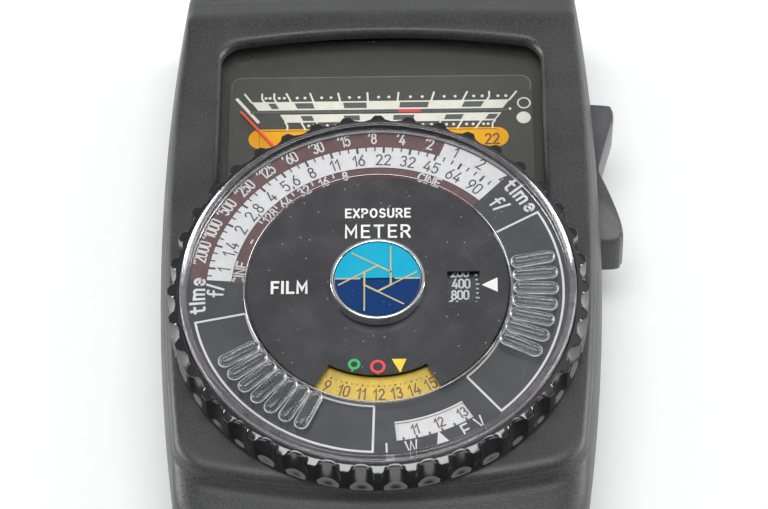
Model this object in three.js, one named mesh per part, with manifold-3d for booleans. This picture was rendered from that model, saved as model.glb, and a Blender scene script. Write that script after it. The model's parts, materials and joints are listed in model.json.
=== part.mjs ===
// Handheld photoelectric exposure meter with a rotary calculator dial, in millimetres.
// The meter lies on its back: +Z points out of the dial face, +Y towards the sensor end.
// The origin is on the back face, straight below the dial's axis.
import * as THREE from "three";
import { mergeVertices } from "three/addons/utils/BufferGeometryUtils.js";
import Module from "manifold-3d";

const wasm = await Module();
wasm.setup();

// ---- Driving dimensions -------------------------------------------------------------------
const HALF_WIDTH = 34.5; // half the case's width where it is widest
const WIDEST_Y = 18; // height along the case where that is
const SIDE_DROOP = 0.00143; // the sides curve in by this times the squared distance from WIDEST_Y
const CASE_LOW = -42; // lower end of the case
const CASE_HIGH = 69; // sensor end of the case
const SEAM_Z = 18; // joint between the two shells
const FACE_Z = 27; // the flat face that carries the dial
const WALL = 1.8; // shell thickness
const GAP = 0.3; // clearance between neighbouring pieces
const FLOOR = 1.6; // thickness of the back

const DIAL_R = 32; // knurled setting ring
const DIAL_Z0 = FACE_Z + GAP;
const DIAL_Z1 = 33; // top of the knurled wall
const FLUTES = 40; // scallops round the setting ring
const FLUTE_DEPTH = 1.5;
const CLEAR_R = 30.1; // transparent aperture disc
const CLEAR_Z1 = 34; // top of its bead
const CENTRE_R = 19.9; // fixed disc in the middle of the dial
const CENTRE_Z1 = 33.5;
const CAP_R = 7.2; // enamel badge in the middle
const CAP_Z1 = 35.7;
const HUB_R = 4;

const NEEDLE_Y = 11.5; // the needle's pivot, on the centre line
const NEEDLE_REST = 38.5; // the needle's rest angle left of straight up, in degrees
const NEEDLE_R = 35.7; // pivot to tip
const WINDOW_X = 0.35; // centre of the scale window
const WINDOW_HALF = 25.7;
const WINDOW_LOW = 19;
const WINDOW_HIGH = 52.4;
const WINDOW_SAG = 2.4; // how much the window's top edge is arched
const SCALE_HIGH = 46.5; // upper edge of the printed scale plate

const DOME_R = 6.3; // diffuser dome
const DOME_X = 11; // its parked place; the cell is at the mirrored place
const TRACK_HALF = 23.7;
const SENSOR_Z = 10.1; // height of the sensor's axis

const DOOR_HALF = 17; // battery door
const DOOR_HIGH = -13.3;
const CELL_R = 7.8; // button cells
const CELL_X = 8.2;
const CELL_Y = -24;
const POSTS = [
  [23, -29.5],
  [-23, -29.5],
  [25, 57.6],
  [-25, 57.6],
]; // case screws
const TEST_BUTTON = [-22, 3]; // battery test button on the back
const ROCKER_PIVOT = [31, 32];
const ROCKER_Z = [8.5, 16.5];

const COARSE = 12; // segments of small round pieces
const FINE = 48; // segments of the dial's round pieces
const CORNER_STEPS = 3;

// ---- Materials ----------------------------------------------------------------------------
const finish = (color, roughness, metalness = 0) =>
  new THREE.MeshStandardMaterial({ color, roughness, metalness });
const FINISH = {
  shell: finish(0x4a4a4b, 0.62),
  gloss: finish(0x0c0c0e, 0.2),
  print: finish(0x2a2a2d, 0.4),
  clear: finish(0xd8dde0, 0.05),
  steel: finish(0xb4b6ba, 0.35, 1),
  chrome: finish(0xe0e2e6, 0.12, 1),
  brass: finish(0xc9a458, 0.35, 1),
  copper: finish(0xb4673a, 0.4, 1),
  red: finish(0xe8472b, 0.5),
  white: finish(0xeeeee8, 0.45),
  board: finish(0x7a5a34, 0.6),
  resistor: finish(0xc2a06a, 0.5),
  enamel: finish(0x1586b8, 0.2),
  mask: finish(0x3b3c39, 0.7),
};

// ---- Solid helpers ------------------------------------------------------------------------
// A closed geometry as a solid that can be joined and cut.
function solid(geometry) {
  const bare = new THREE.BufferGeometry();
  bare.setAttribute("position", geometry.getAttribute("position"));
  bare.setIndex(geometry.index);
  const merged = mergeVertices(bare, 1e-4);
  const corners = merged.index.array;
  const faces = [];
  for (let i = 0; i < corners.length; i += 3) {
    const [a, b, c] = corners.slice(i, i + 3);
    if (a !== b && b !== c && a !== c) faces.push(a, b, c);
  }
  return new wasm.Manifold(
    new wasm.Mesh({
      numProp: 3,
      vertProperties: new Float32Array(merged.getAttribute("position").array),
      triVerts: new Uint32Array(faces),
    }),
  );
}

// A solid as a geometry that three.js draws.
function geometryOf(made) {
  const mesh = made.getMesh();
  const geometry = new THREE.BufferGeometry();
  geometry.setAttribute("position", new THREE.BufferAttribute(mesh.vertProperties, 3));
  geometry.setIndex(new THREE.BufferAttribute(mesh.triVerts, 1));
  geometry.computeVertexNormals();
  return geometry;
}

function block([x0, x1], [y0, y1], [z0, z1]) {
  const box = new THREE.BoxGeometry(x1 - x0, y1 - y0, z1 - z0);
  return solid(box.translate((x0 + x1) / 2, (y0 + y1) / 2, (z0 + z1) / 2));
}

// A round bar along Z.
function round(radius, [z0, z1], [x, y] = [0, 0], segments = COARSE) {
  const bar = new THREE.CylinderGeometry(radius, radius, z1 - z0, segments);
  return solid(bar.rotateX(Math.PI / 2).translate(x, y, (z0 + z1) / 2));
}

// A round bar along Y, centred on x and z.
function roundAlongY(radius, [y0, y1], [x, z], segments = COARSE) {
  const bar = new THREE.CylinderGeometry(radius, radius, y1 - y0, segments);
  return solid(bar.translate(x, (y0 + y1) / 2, z));
}

// A turned piece on the Z axis. The profile lists [radius, z] anticlockwise in the r-z plane.
function turned(profile, segments = FINE) {
  const points = profile.map(([r, z]) => new THREE.Vector2(r, z));
  if (profile[0][0] > 0) points.push(points[0].clone());
  return solid(new THREE.LatheGeometry(points, segments).rotateX(Math.PI / 2));
}

// A flat piece cut to an outline, with optional holes.
function plate(points, [z0, z1], holes = []) {
  const shape = new THREE.Shape(points);
  shape.holes = holes.map((hole) => new THREE.Path(hole));
  const geometry = new THREE.ExtrudeGeometry(shape, { depth: z1 - z0, bevelEnabled: false });
  return solid(geometry.translate(0, 0, z0));
}

// Points of a closed outline. Each corner is [x, y, radius of its rounding].
function roundedLoop(corners, steps = CORNER_STEPS) {
  return corners.flatMap(([x, y, radius], i) => {
    const corner = new THREE.Vector2(x, y);
    if (!radius) return [corner];
    const before = corners.at(i - 1);
    const after = corners[(i + 1) % corners.length];
    const back = new THREE.Vector2(before[0], before[1]).sub(corner).normalize();
    const ahead = new THREE.Vector2(after[0], after[1]).sub(corner).normalize();
    const half = Math.acos(back.dot(ahead)) / 2;
    const middle = back.clone().add(ahead).setLength(radius / Math.sin(half));
    const reach = radius / Math.tan(half);
    const from = back.multiplyScalar(reach).sub(middle).angle();
    const to = ahead.multiplyScalar(reach).sub(middle).angle();
    const sweep = ((to - from + 3 * Math.PI) % (2 * Math.PI)) - Math.PI;
    return Array.from({ length: steps + 1 }, (_, k) => {
      const angle = from + (sweep * k) / steps;
      const spoke = new THREE.Vector2(Math.cos(angle), Math.sin(angle));
      return spoke.multiplyScalar(radius).add(middle).add(corner);
    });
  });
}

function rectangle([x0, x1], [y0, y1], radius, steps) {
  const corners = [
    [x0, y0, radius],
    [x1, y0, radius],
    [x1, y1, radius],
    [x0, y1, radius],
  ];
  return roundedLoop(corners, steps);
}

// A solid that passes through outlines with equally many points, from the lowest up.
function loft(levels) {
  const count = levels[0].loop.length;
  const last = (levels.length - 1) * count;
  const positions = levels.flatMap(({ loop, z }) => loop.flatMap((p) => [p.x, p.y, z]));
  const index = [];
  for (let base = 0; base < last; base += count) {
    for (let i = 0; i < count; i += 1) {
      const a = base + i;
      const b = base + ((i + 1) % count);
      index.push(a, b, b + count, a, b + count, a + count);
    }
  }
  THREE.ShapeUtils.triangulateShape(levels[0].loop, []).forEach(([a, b, c]) => index.push(c, b, a));
  THREE.ShapeUtils.triangulateShape(levels.at(-1).loop, []).forEach(([a, b, c]) =>
    index.push(last + a, last + b, last + c),
  );
  const geometry = new THREE.BufferGeometry();
  geometry.setAttribute("position", new THREE.Float32BufferAttribute(positions, 3));
  geometry.setIndex(index);
  return solid(geometry);
}

// ---- The case's outline -------------------------------------------------------------------
const SIDE_STEPS = 6;
const END_STEPS = 4;

// The barrel-shaped outline, moved in from the widest outline by inset, between two ends.
function caseLoop({ inset, low, high, lowBulge = 4, highBulge, corner }) {
  const halfAt = (y) => HALF_WIDTH - SIDE_DROOP * (y - WIDEST_Y) ** 2 - inset;
  const y0 = low + lowBulge;
  const y1 = high - highBulge;
  const corners = [];
  for (let i = 0; i <= SIDE_STEPS; i += 1) {
    const y = THREE.MathUtils.lerp(y0, y1, i / SIDE_STEPS);
    corners.push([halfAt(y), y, i % SIDE_STEPS ? 0 : corner]);
  }
  for (let i = 1; i < END_STEPS; i += 1) {
    const side = 1 - (2 * i) / END_STEPS;
    corners.push([side * halfAt(y1), high - highBulge * side ** 2, 0]);
  }
  for (let i = SIDE_STEPS; i >= 0; i -= 1) {
    const y = THREE.MathUtils.lerp(y0, y1, i / SIDE_STEPS);
    corners.push([-halfAt(y), y, i % SIDE_STEPS ? 0 : corner]);
  }
  for (let i = 1; i < END_STEPS; i += 1) {
    const side = (2 * i) / END_STEPS - 1;
    corners.push([side * halfAt(y0), low + lowBulge * side ** 2, 0]);
  }
  return roundedLoop(corners);
}

const level = (z, inset, low, high, corner, highBulge) => ({
  z,
  loop: caseLoop({ inset, low, high, corner, highBulge }),
});

// Outside of the front shell: skirt, small step, rounded edge, flat face.
const frontOutside = () =>
  loft([
    level(SEAM_Z, 0, CASE_LOW, CASE_HIGH, 7, 0.8),
    level(21.5, 0.6, -38.5, 64.5, 6, 0.8),
    level(24.3, 1.9, -32.2, 57.2, 4.6, 0.6),
    level(25, 2.3, -31, 56.1, 4.4, 0.6),
    level(26.1, 2.35, -30.85, 55.9, 4.3, 0.6),
    level(26.7, 2.7, -30.4, 55.5, 4.1, 0.6),
    level(FACE_Z, 3.5, -29.5, 54.7, 3.6, 0.6),
  ]);
const frontInside = () =>
  loft([
    level(SEAM_Z - 0.1, WALL, CASE_LOW + WALL, CASE_HIGH - WALL, 5.5, 0.8),
    level(21.5, 2.5, -36.3, 62.2, 5, 0.8),
    level(23.6, 4.1, -30.2, 55.2, 3.5, 0.6),
    level(FACE_Z - WALL, 4.8, -29.2, 54.2, 3, 0.6),
  ]);
const backOutside = () =>
  loft([
    level(0, 4.6, -37.4, 66.4, 5, 0.4),
    level(0.7, 3.5, -38.5, 67.6, 5.4, 0.5),
    level(2.4, 2.1, -39.9, 68.6, 6, 0.6),
    level(9, 0.5, -41.5, 68.9, 6.8, 0.8),
    level(SEAM_Z - GAP, 0, CASE_LOW, CASE_HIGH, 7, 0.8),
  ]);
const backInside = () =>
  loft([
    level(FLOOR, 5.2, -36.6, 65.4, 4, 0.4),
    level(4, 3.6, -38.3, 66.8, 4.6, 0.6),
    level(9, 2.3, -39.7, 67.1, 5.2, 0.8),
    level(SEAM_Z, WALL, CASE_LOW + WALL, CASE_HIGH - WALL, 5.5, 0.8),
  ]);

// ---- Case ---------------------------------------------------------------------------------
// The window's outline: straight sides and an arched top, spread outwards by grow.
function windowLoop(grow, low) {
  const half = WINDOW_HALF + grow;
  const top = [];
  const steps = 8;
  for (let i = 0; i <= steps; i += 1) {
    const side = 1 - (2 * i) / steps;
    const y = WINDOW_HIGH + grow - WINDOW_SAG * side ** 2;
    top.push([WINDOW_X + half * side, y, i % steps ? 0 : 3]);
  }
  return roundedLoop([[WINDOW_X - half, low, 0.5], [WINDOW_X + half, low, 0.5], ...top]);
}

function frontCover() {
  const outside = frontOutside();
  let cover = outside.subtract(frontInside());
  for (const place of POSTS) {
    cover = cover.add(round(2.4, [5, 24.5], place).intersect(outside));
    cover = cover.subtract(round(1.35, [4.9, 14], place));
  }
  cover = cover.subtract(plate(windowLoop(0, WINDOW_LOW), [FACE_Z - 4, FACE_Z + 1]));
  return cover.subtract(round(HUB_R + GAP, [FACE_Z - 4, FACE_Z + 1], [0, 0], 24));
}

const DOOR_SLOT = [DOOR_HALF + GAP, DOOR_HIGH + GAP];
const LUG = { place: [-31.3, -29], radius: 4, z: [5.5, 9] }; // eyelet for a wrist cord
const TONGUE = 1; // how far the door's guides reach under the case floor
const PLATE_X = 21; // back plate
const PLATE_Y = [26, 58];

function backCover() {
  let cover = backOutside().subtract(backInside());
  for (const place of POSTS) {
    cover = cover.add(round(2.9, [0.9, 4.7], place));
    cover = cover.subtract(round(1.5, [-1, 5], place));
    cover = cover.subtract(round(2.6, [-1, 2.6], place));
  }
  const [slotHalf, slotHigh] = DOOR_SLOT;
  cover = cover.subtract(block([-slotHalf, slotHalf], [-45, slotHigh], [-1, 2.2]));
  cover = cover.subtract(block([-slotHalf - TONGUE, slotHalf + TONGUE], [-45, slotHigh], [0.55, 1.3]));
  cover = cover.subtract(round(2.5, [-1, 3], [0, NEEDLE_Y]));
  cover = cover.subtract(round(2.8, [-1, 3], TEST_BUTTON));
  cover = cover.subtract(
    plate(rectangle([-PLATE_X - GAP, PLATE_X + GAP], [PLATE_Y[0] - GAP, PLATE_Y[1] + GAP], 2), [-1, 0.9]),
  );
  cover = cover.subtract(block([-TRACK_HALF - GAP, TRACK_HALF + GAP], [60, 75], [2.3, SEAM_Z + 1]));
  const lugY = [LUG.place[1] - LUG.radius - GAP, LUG.place[1] + LUG.radius + GAP];
  cover = cover.subtract(block([-40, -28], lugY, [LUG.z[0] - GAP, LUG.z[1] + GAP]));
  cover = cover.subtract(round(0.8 + GAP, [4.7, 9], ROCKER_PIVOT));
  return cover.subtract(block([29.5, 40], [17.6, 47], [ROCKER_Z[0] - GAP, SEAM_Z + 1]));
}

const backPlate = () => plate(rectangle([-PLATE_X, PLATE_X], PLATE_Y, 1.7), [0.1, 0.6]);

function batteryDoor() {
  const panel = block([-DOOR_HALF, DOOR_HALF], [-45, DOOR_HIGH], [-1, 1.4]);
  const guides = block([-DOOR_HALF - TONGUE, DOOR_HALF + TONGUE], [-45, DOOR_HIGH], [0.85, 1.05]);
  return panel.add(guides).intersect(backOutside());
}

const doorContactStrip = () =>
  plate(rectangle([-12, 12], [-27, -21], 2), [1.6, 1.9]).add(block([-1.5, 1.5], [-25, -23], [1.7, 2.1]));

function batteryTray() {
  const outside = plate(rectangle([-18.4, 18.4], [-33.6, -14.4], 3), [2.6, 10]);
  return outside.subtract(plate(rectangle([-17.4, 17.4], [-32.6, -15.4], 2.4), [2, 9]));
}

function buttonCell(x) {
  const body = round(CELL_R, [2.5, 6.9], [x, CELL_Y], 32);
  return body.add(round(CELL_R - 1.2, [6.5, 8.2], [x, CELL_Y], 32));
}

const cellContact = (x) =>
  round(3.6, [8.5, 8.7], [x, CELL_Y]).add(block([x - 1, x + 1], [CELL_Y, CELL_Y + 7], [8.5, 8.7]));

function batteryTestButton() {
  const button = round(2.4, [0.3, 2.6], TEST_BUTTON, 24);
  return button.add(round(3.6, [2.3, 3.1], TEST_BUTTON, 24));
}

// A spring wound round Z: a bar that follows a helix.
function coilSpring([x, y], [z0, z1], radius, wire, turns) {
  const steps = turns * 8;
  const points = Array.from({ length: steps + 1 }, (_, i) => {
    const angle = (2 * Math.PI * turns * i) / steps;
    const z = THREE.MathUtils.lerp(z0, z1, i / steps);
    return new THREE.Vector3(x + radius * Math.cos(angle), y + radius * Math.sin(angle), z);
  });
  const section = new THREE.Shape();
  section.absarc(0, 0, wire, 0, 2 * Math.PI);
  const extrudePath = new THREE.CatmullRomCurve3(points);
  return solid(new THREE.ExtrudeGeometry(section, { extrudePath, steps, curveSegments: 3 }));
}

function slottedHead(made, [x, y], z, toward, width, reach) {
  const slot = toward < 0 ? [z - 1, z + 0.7] : [z - 0.7, z + 1];
  return made.subtract(block([x - reach, x + reach], [y - width / 2, y + width / 2], slot));
}

function zeroAdjustScrew() {
  const screw = round(2.1, [0.4, 2.6], [0, NEEDLE_Y], 24).add(round(0.6, [2.5, 4.2], [1, NEEDLE_Y]));
  return slottedHead(screw, [0, NEEDLE_Y], 0.4, -1, 0.7, 3);
}

function caseScrew(place) {
  const screw = round(2.25, [0.5, 2.3], place, 20).add(round(1.05, [2, 12.5], place));
  return slottedHead(screw, place, 0.5, -1, 0.6, 3);
}

// The eyelet stands out of the left side near the lower corner.
function strapLug() {
  const eye = round(LUG.radius, LUG.z, LUG.place, 24);
  const root = block([-40, -28.3], [LUG.place[1] - LUG.radius, LUG.place[1] + LUG.radius], LUG.z);
  return eye.intersect(root).subtract(round(1.7, [5, 10], [-32.6, LUG.place[1]]));
}

// ---- Electrical parts ---------------------------------------------------------------------
const BOARD_Z = [11, 12.2];

function circuitBoard() {
  const outline = rectangle([-27, 27], [-36, -3], 3);
  let board = plate(outline, BOARD_Z);
  for (const place of POSTS.slice(0, 2)) board = board.subtract(round(3, [10, 13], place));
  return board;
}

function resistor(x, y) {
  const body = roundAlongY(1.1, [y - 3, y + 3], [x, 13.9], 12);
  const leg = block([x - 0.3, x + 0.3], [y - 4.2, y - 2.8], [12.5, 14.1]);
  return body.add(leg).add(leg.translate(0, 7, 0));
}

function trimmer(x, y) {
  const made = block([x - 3, x + 3], [y - 3, y + 3], [12.5, 14.5]).add(round(2, [14, 15.4], [x, y], 20));
  return slottedHead(made, [x, y], 15.4, 1, 0.6, 3);
}

// ---- Meter movement -----------------------------------------------------------------------
const AXIS = [0, NEEDLE_Y];
const YOKE = { inner: 9.9, outer: 12, z: [7.5, 17.8] };

const windowGlass = () => plate(windowLoop(1.5, WINDOW_LOW - 1), [24, 24.9]);

function scalePlate() {
  const made = plate(rectangle([-24, 24.6], [17.5, SCALE_HIGH], 2), [22.2, 23]);
  const slots = [-22, 22].map((x) => round(1.4, [21, 24], [x, 20]));
  return slots.reduce((rest, hole) => rest.subtract(hole), made.subtract(round(12.9, [21, 24], AXIS, 32)));
}

function chassisPlate() {
  const made = plate(rectangle([-28, 28], [15, 54.3], 2), [20.8, 21.9]);
  const holes = [-22, 22].map((x) => round(1.1, [20, 23], [x, 20]));
  return holes.reduce((rest, hole) => rest.subtract(hole), made.subtract(round(12.9, [20, 23], AXIS, 32)));
}

function chassisScrew(x) {
  const screw = round(2, [23.3, 23.7], [x, 20]).add(round(0.8, [19.5, 23.4], [x, 20], 10));
  return screw;
}

// The round magnet the coil swings about, with two ears that carry it inside the yoke.
function magnetCore() {
  const ears = block([-YOKE.inner + GAP, YOKE.inner - GAP], [NEEDLE_Y - 1.5, NEEDLE_Y + 1.5], [10.5, 14.5]);
  const magnet = round(6.4, [8.7, 16.3], AXIS, 32).add(ears);
  return magnet.subtract(round(1, [8, 17], AXIS, 12));
}

const yokeRing = () =>
  round(YOKE.outer, YOKE.z, AXIS, 40).subtract(round(YOKE.inner, [7, 18.5], AXIS, 40));

// A bar across the yoke with two feet, which holds a jewel on the pivot's axis.
function bridge([bar0, bar1], [foot0, foot1], jewel) {
  const bar = block([-11.9, 11.9], [NEEDLE_Y - 1.6, NEEDLE_Y + 1.6], [bar0, bar1]);
  const foot = block([10.2, 11.9], [NEEDLE_Y - 1.6, NEEDLE_Y + 1.6], [foot0, foot1]);
  const made = bar.add(foot).add(foot.translate(-22.1, 0, 0));
  return made.subtract(round(jewel, [bar0 - 1, bar1 + 1], AXIS));
}

const upperBridge = () => bridge([24.2, 24.9], [18.1, 24.4], 1.2);
const lowerBridge = () => bridge([4.6, 5.4], [5, 7.2], 1.2);
const jewel = (z) => round(0.9, z, AXIS, 12);

const turn = (made, degrees) => {
  const angle = THREE.MathUtils.degToRad(degrees);
  const matrix = new THREE.Matrix4()
    .makeTranslation(0, NEEDLE_Y, 0)
    .multiply(new THREE.Matrix4().makeRotationZ(angle))
    .multiply(new THREE.Matrix4().makeTranslation(0, -NEEDLE_Y, 0));
  return made.transform(matrix.elements);
};

// The wound frame round the magnet, in line with the needle.
function movingCoil() {
  const outside = block([-0.8, 0.8], [NEEDLE_Y - 9.2, NEEDLE_Y + 9.2], [6.2, 18.8]);
  const opening = block([-2, 2], [NEEDLE_Y - 7.4, NEEDLE_Y + 7.4], [7.8, 17.2]);
  const collars = round(1.8, [6.2, 18.8], AXIS);
  const shaft = round(0.8, [5, 20], AXIS, 12);
  return turn(outside.add(collars).subtract(opening).subtract(shaft), NEEDLE_REST);
}

// Upper and lower staffs hold the coil; this one piece stands for both and the pivot wire.
const needleStaff = () => round(0.5, [5.7, 23.9], AXIS, 10);

function needle() {
  const hub = round(1.9, [23.3, 23.75], AXIS, 20).subtract(round(0.8, [23, 24], AXIS, 12));
  const blade = plate(
    [
      [-0.45, 1.2],
      [0.45, 1.2],
      [0.33, NEEDLE_R],
      [-0.33, NEEDLE_R],
    ].map(([x, y]) => new THREE.Vector2(x, NEEDLE_Y + y)),
    [23.35, 23.7],
  );
  const tail = block([-0.8, 0.8], [NEEDLE_Y - 3.9, NEEDLE_Y - 1.2], [23.35, 23.7]);
  return turn(hub.add(blade).add(tail), NEEDLE_REST);
}

// Flat spiral spring that brings the needle back.
function hairspring() {
  const turns = 2.5;
  const steps = 30;
  const edge = (offset) =>
    Array.from({ length: steps + 1 }, (_, i) => {
      const angle = (2 * Math.PI * turns * i) / steps;
      const radius = 1.4 + (3.4 * i) / steps + offset;
      return new THREE.Vector2(radius * Math.cos(angle), NEEDLE_Y + radius * Math.sin(angle));
    });
  return plate([...edge(0.15), ...edge(-0.15).reverse()], [19.3, 19.8]);
}

// ---- Rocker switch ------------------------------------------------------------------------
function rocker() {
  const loop = roundedLoop(
    [
      [30.3, 18.9, 1],
      [36.9, 18.9, 0.7],
      [38.4, 20, 0.9],
      [38.2, 21.4, 1.2],
      [34.7, 32.2, 3],
      [37.5, 41.6, 1.5],
      [37.6, 44.8, 1.6],
      [30.3, 45.6, 1],
    ],
    3,
  );
  const geometry = new THREE.ExtrudeGeometry(new THREE.Shape(loop), {
    depth: ROCKER_Z[1] - ROCKER_Z[0] - 0.8,
    bevelThickness: 0.4,
    bevelSize: 0.4,
    bevelOffset: -0.4,
    bevelSegments: 1,
  });
  const body = solid(geometry.translate(0, 0, ROCKER_Z[0] + 0.4));
  return body.subtract(round(1.1, [0, 20], ROCKER_PIVOT, 12));
}

const rockerPin = () => round(0.8, [5, 17.5], ROCKER_PIVOT, 12);

const switchBase = () =>
  block([23.2, 24.6], [22, 42], [9.5, 15.5]).add(block([24.4, 26.2], [30.5, 33.5], [10, 15]));

// A leaf that stands off the switch base and meets one end of the rocker.
function contactLeaf(side) {
  const centre = ROCKER_PIVOT[1];
  const foot = [centre + side * 3, centre + side * 5];
  const tip = [centre + side * 3, centre + side * 9.5];
  const order = (pair) => pair.toSorted((a, b) => a - b);
  return block([24.9, 28.3], order(foot), [11, 14]).add(block([28, 28.4], order(tip), [11, 14]));
}

// ---- Sensor end ---------------------------------------------------------------------------
const CHANNEL_Y = [65, 67.2];

function slideTrack() {
  const frame = block([-TRACK_HALF, TRACK_HALF], [60.5, 68.4], [2.6, 17.6]);
  const channel = block([-22.3, 22.3], CHANNEL_Y, [3.2, 17]);
  const slot = block([-22.3, 22.3], [67, 69], [SENSOR_Z - DOME_R - GAP, SENSOR_Z + DOME_R + GAP]);
  const aperture = roundAlongY(5.6, [60, 66], [-DOME_X, SENSOR_Z], 32);
  return frame.subtract(channel).subtract(slot).subtract(aperture);
}

function diffuserSlider() {
  const panel = block([1.2, 20.8], [CHANNEL_Y[0] + GAP, CHANNEL_Y[1] - GAP], [3.5, 16.7]);
  return panel.subtract(roundAlongY(5.2, [64, 68], [DOME_X, SENSOR_Z], 32));
}

// Hollow white dome with a collar that sits in the slider's hole.
function diffuserDome() {
  const profile = [];
  const steps = 5;
  const collar = 4.9;
  const base = CHANNEL_Y[1] - 0.15;
  const inner = DOME_R - 0.9;
  profile.push([inner - 1.3, CHANNEL_Y[0] + 0.4], [collar, CHANNEL_Y[0] + 0.4], [collar, base]);
  for (let i = 0; i <= steps; i += 1) {
    const angle = (Math.PI / 2) * (i / steps);
    profile.push([DOME_R * Math.cos(angle), base + DOME_R * Math.sin(angle)]);
  }
  for (let i = steps; i >= 0; i -= 1) {
    const angle = (Math.PI / 2) * (i / steps);
    profile.push([(inner - 1.3) * Math.cos(angle), base + inner * Math.sin(angle)]);
  }
  profile[3 + steps][0] = 0;
  profile[4 + steps][0] = 0;
  const points = profile.map(([r, y]) => new THREE.Vector2(r, y));
  points.push(points[0].clone());
  return solid(new THREE.LatheGeometry(points, 20).translate(DOME_X, 0, SENSOR_Z));
}

const cellWindow = () => roundAlongY(5.3, [63.4, 64.7], [-DOME_X, SENSOR_Z], 32);
const cdsCell = () => roundAlongY(5.1, [60.9, 63.1], [-DOME_X, SENSOR_Z], 32);
const cellHolder = () =>
  block([-DOME_X - 6.5, -DOME_X + 6.5], [58.4, 60.2], [4, 16.5]).subtract(
    roundAlongY(1, [58, 61], [-DOME_X, SENSOR_Z], 12),
  );

// ---- Calculator dial ----------------------------------------------------------------------
function dialHub() {
  const hub = turned(
    [
      [1.3, 23.4],
      [6.4, 23.4],
      [6.4, FACE_Z - WALL - GAP],
      [HUB_R, FACE_Z - WALL - GAP],
      [HUB_R, 32.8],
      [1.3, 32.8],
    ],
    24,
  );
  return hub;
}

// Wavy washer that gives the setting ring its drag.
function springWasher() {
  const sectors = 24;
  const [inner, outer] = [5, 8.5];
  const positions = [];
  const index = [];
  for (let i = 0; i < sectors; i += 1) {
    const angle = (2 * Math.PI * i) / sectors;
    const lift = DIAL_Z0 + 0.2 + 0.12 * Math.cos(3 * angle);
    const corner = (r, z) => positions.push(r * Math.cos(angle), r * Math.sin(angle), z);
    corner(inner, lift);
    corner(outer, lift);
    corner(outer, lift + 0.25);
    corner(inner, lift + 0.25);
    const next = ((i + 1) % sectors) * 4;
    for (let k = 0; k < 4; k += 1) {
      const a = i * 4 + k;
      const b = i * 4 + ((k + 1) % 4);
      const c = next + ((k + 1) % 4);
      const d = next + k;
      index.push(a, c, b, a, d, c);
    }
  }
  const geometry = new THREE.BufferGeometry();
  geometry.setAttribute("position", new THREE.Float32BufferAttribute(positions, 3));
  geometry.setIndex(index);
  return solid(geometry);
}

// Outline of the setting ring at a share of the full flute depth.
function fluteLoop(share) {
  const perFlute = 4;
  return Array.from({ length: FLUTES * perFlute }, (_, i) => {
    const angle = (2 * Math.PI * i) / (FLUTES * perFlute);
    const dip = [0, 0.75, 1, 0.75][i % perFlute];
    const radius = DIAL_R - share * FLUTE_DEPTH * dip;
    return new THREE.Vector2(radius * Math.cos(angle), radius * Math.sin(angle));
  });
}

// Knurled ring: the flutes start shallow at its foot and are deepest at the top.
function settingRing() {
  const wall = loft([
    { z: DIAL_Z0, loop: fluteLoop(0) },
    { z: DIAL_Z0 + 1.2, loop: fluteLoop(0.08) },
    { z: DIAL_Z1, loop: fluteLoop(1) },
  ]);
  const hollow = round(30.3, [30.6, 34], [0, 0], FINE);
  const bore = round(HUB_R + 0.1 + GAP, [27, 31], [0, 0], 32);
  const recess = round(9, [27, DIAL_Z0 + 0.7], [0, 0], 32);
  return wall.subtract(hollow).subtract(bore).subtract(recess);
}

const scaleDisc = () =>
  turned([
    [HUB_R + 0.4, 30.9],
    [29.7, 30.9],
    [29.7, 32.2],
    [HUB_R + 0.4, 32.2],
  ]);

const RIB_ANGLES = [...Array(7).keys()].flatMap((i) => [10.6 - 6.18 * i, 209.8 + 5.8 * i]);

function fingerRib(degrees) {
  const half = 0.85;
  const lower = { z: 33.2, loop: rectangle([20.7, 26.5], [-half, half], half - 0.01, 2) };
  const crest = half - 0.4;
  const upper = { z: 34.35, loop: rectangle([21.1, 26.1], [-crest, crest], crest - 0.01, 2) };
  const turnMatrix = new THREE.Matrix4().makeRotationZ(THREE.MathUtils.degToRad(degrees));
  return loft([lower, upper]).transform(turnMatrix.elements);
}

// Transparent disc: thin where it runs under the centre disc, with a bead round its rim.
function apertureDisc() {
  const disc = turned([
    [HUB_R + 0.4, 32.45],
    [29.6, 32.45],
    [29.9, 32.9],
    [CLEAR_R, 33.4],
    [CLEAR_R - 0.3, 33.9],
    [CLEAR_R - 0.8, CLEAR_Z1],
    [28.9, 33.7],
    [20.2, 33.5],
    [20.2, 32.85],
    [HUB_R + 0.4, 32.85],
  ]);
  return RIB_ANGLES.reduce((made, degrees) => made.add(fingerRib(degrees)), disc);
}

// Points on an arc about the dial's axis.
function arcPoints(radius, from, to, steps) {
  return Array.from({ length: steps + 1 }, (_, i) => {
    const angle = THREE.MathUtils.degToRad(THREE.MathUtils.lerp(from, to, i / steps));
    return new THREE.Vector2(radius * Math.cos(angle), radius * Math.sin(angle));
  });
}

function centreDisc() {
  const disc = turned([
    [1.3, 33.15],
    [CENTRE_R - 0.15, 33.15],
    [CENTRE_R, 33.3],
    [CENTRE_R - 0.2, CENTRE_Z1],
    [1.3, CENTRE_Z1],
  ]);
  const readout = plate([...arcPoints(16.2, -118, -62, 10), ...arcPoints(21, -62, -118, 10)], [32, 35]);
  const film = plate(rectangle([10.5, 15.4], [-3, 2.5], 0.5), [32, 35]);
  return disc.subtract(readout).subtract(film);
}

function dialScrew() {
  const screw = round(2.6, [33.8, 34.7], [0, 0], 20).add(round(1, [24, 34], [0, 0], 12));
  return slottedHead(screw, [0, 0], 34.7, 1, 0.6, 3);
}

const emblemRim = () =>
  turned(
    [
      [3.2, 33.8],
      [CAP_R, 33.8],
      [CAP_R, CAP_Z1 - 0.4],
      [CAP_R - 0.15, CAP_Z1],
      [CAP_R - 0.45, CAP_Z1],
      [CAP_R - 0.55, CAP_Z1 - 0.7],
      [3.2, CAP_Z1 - 0.7],
    ],
    36,
  );

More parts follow.
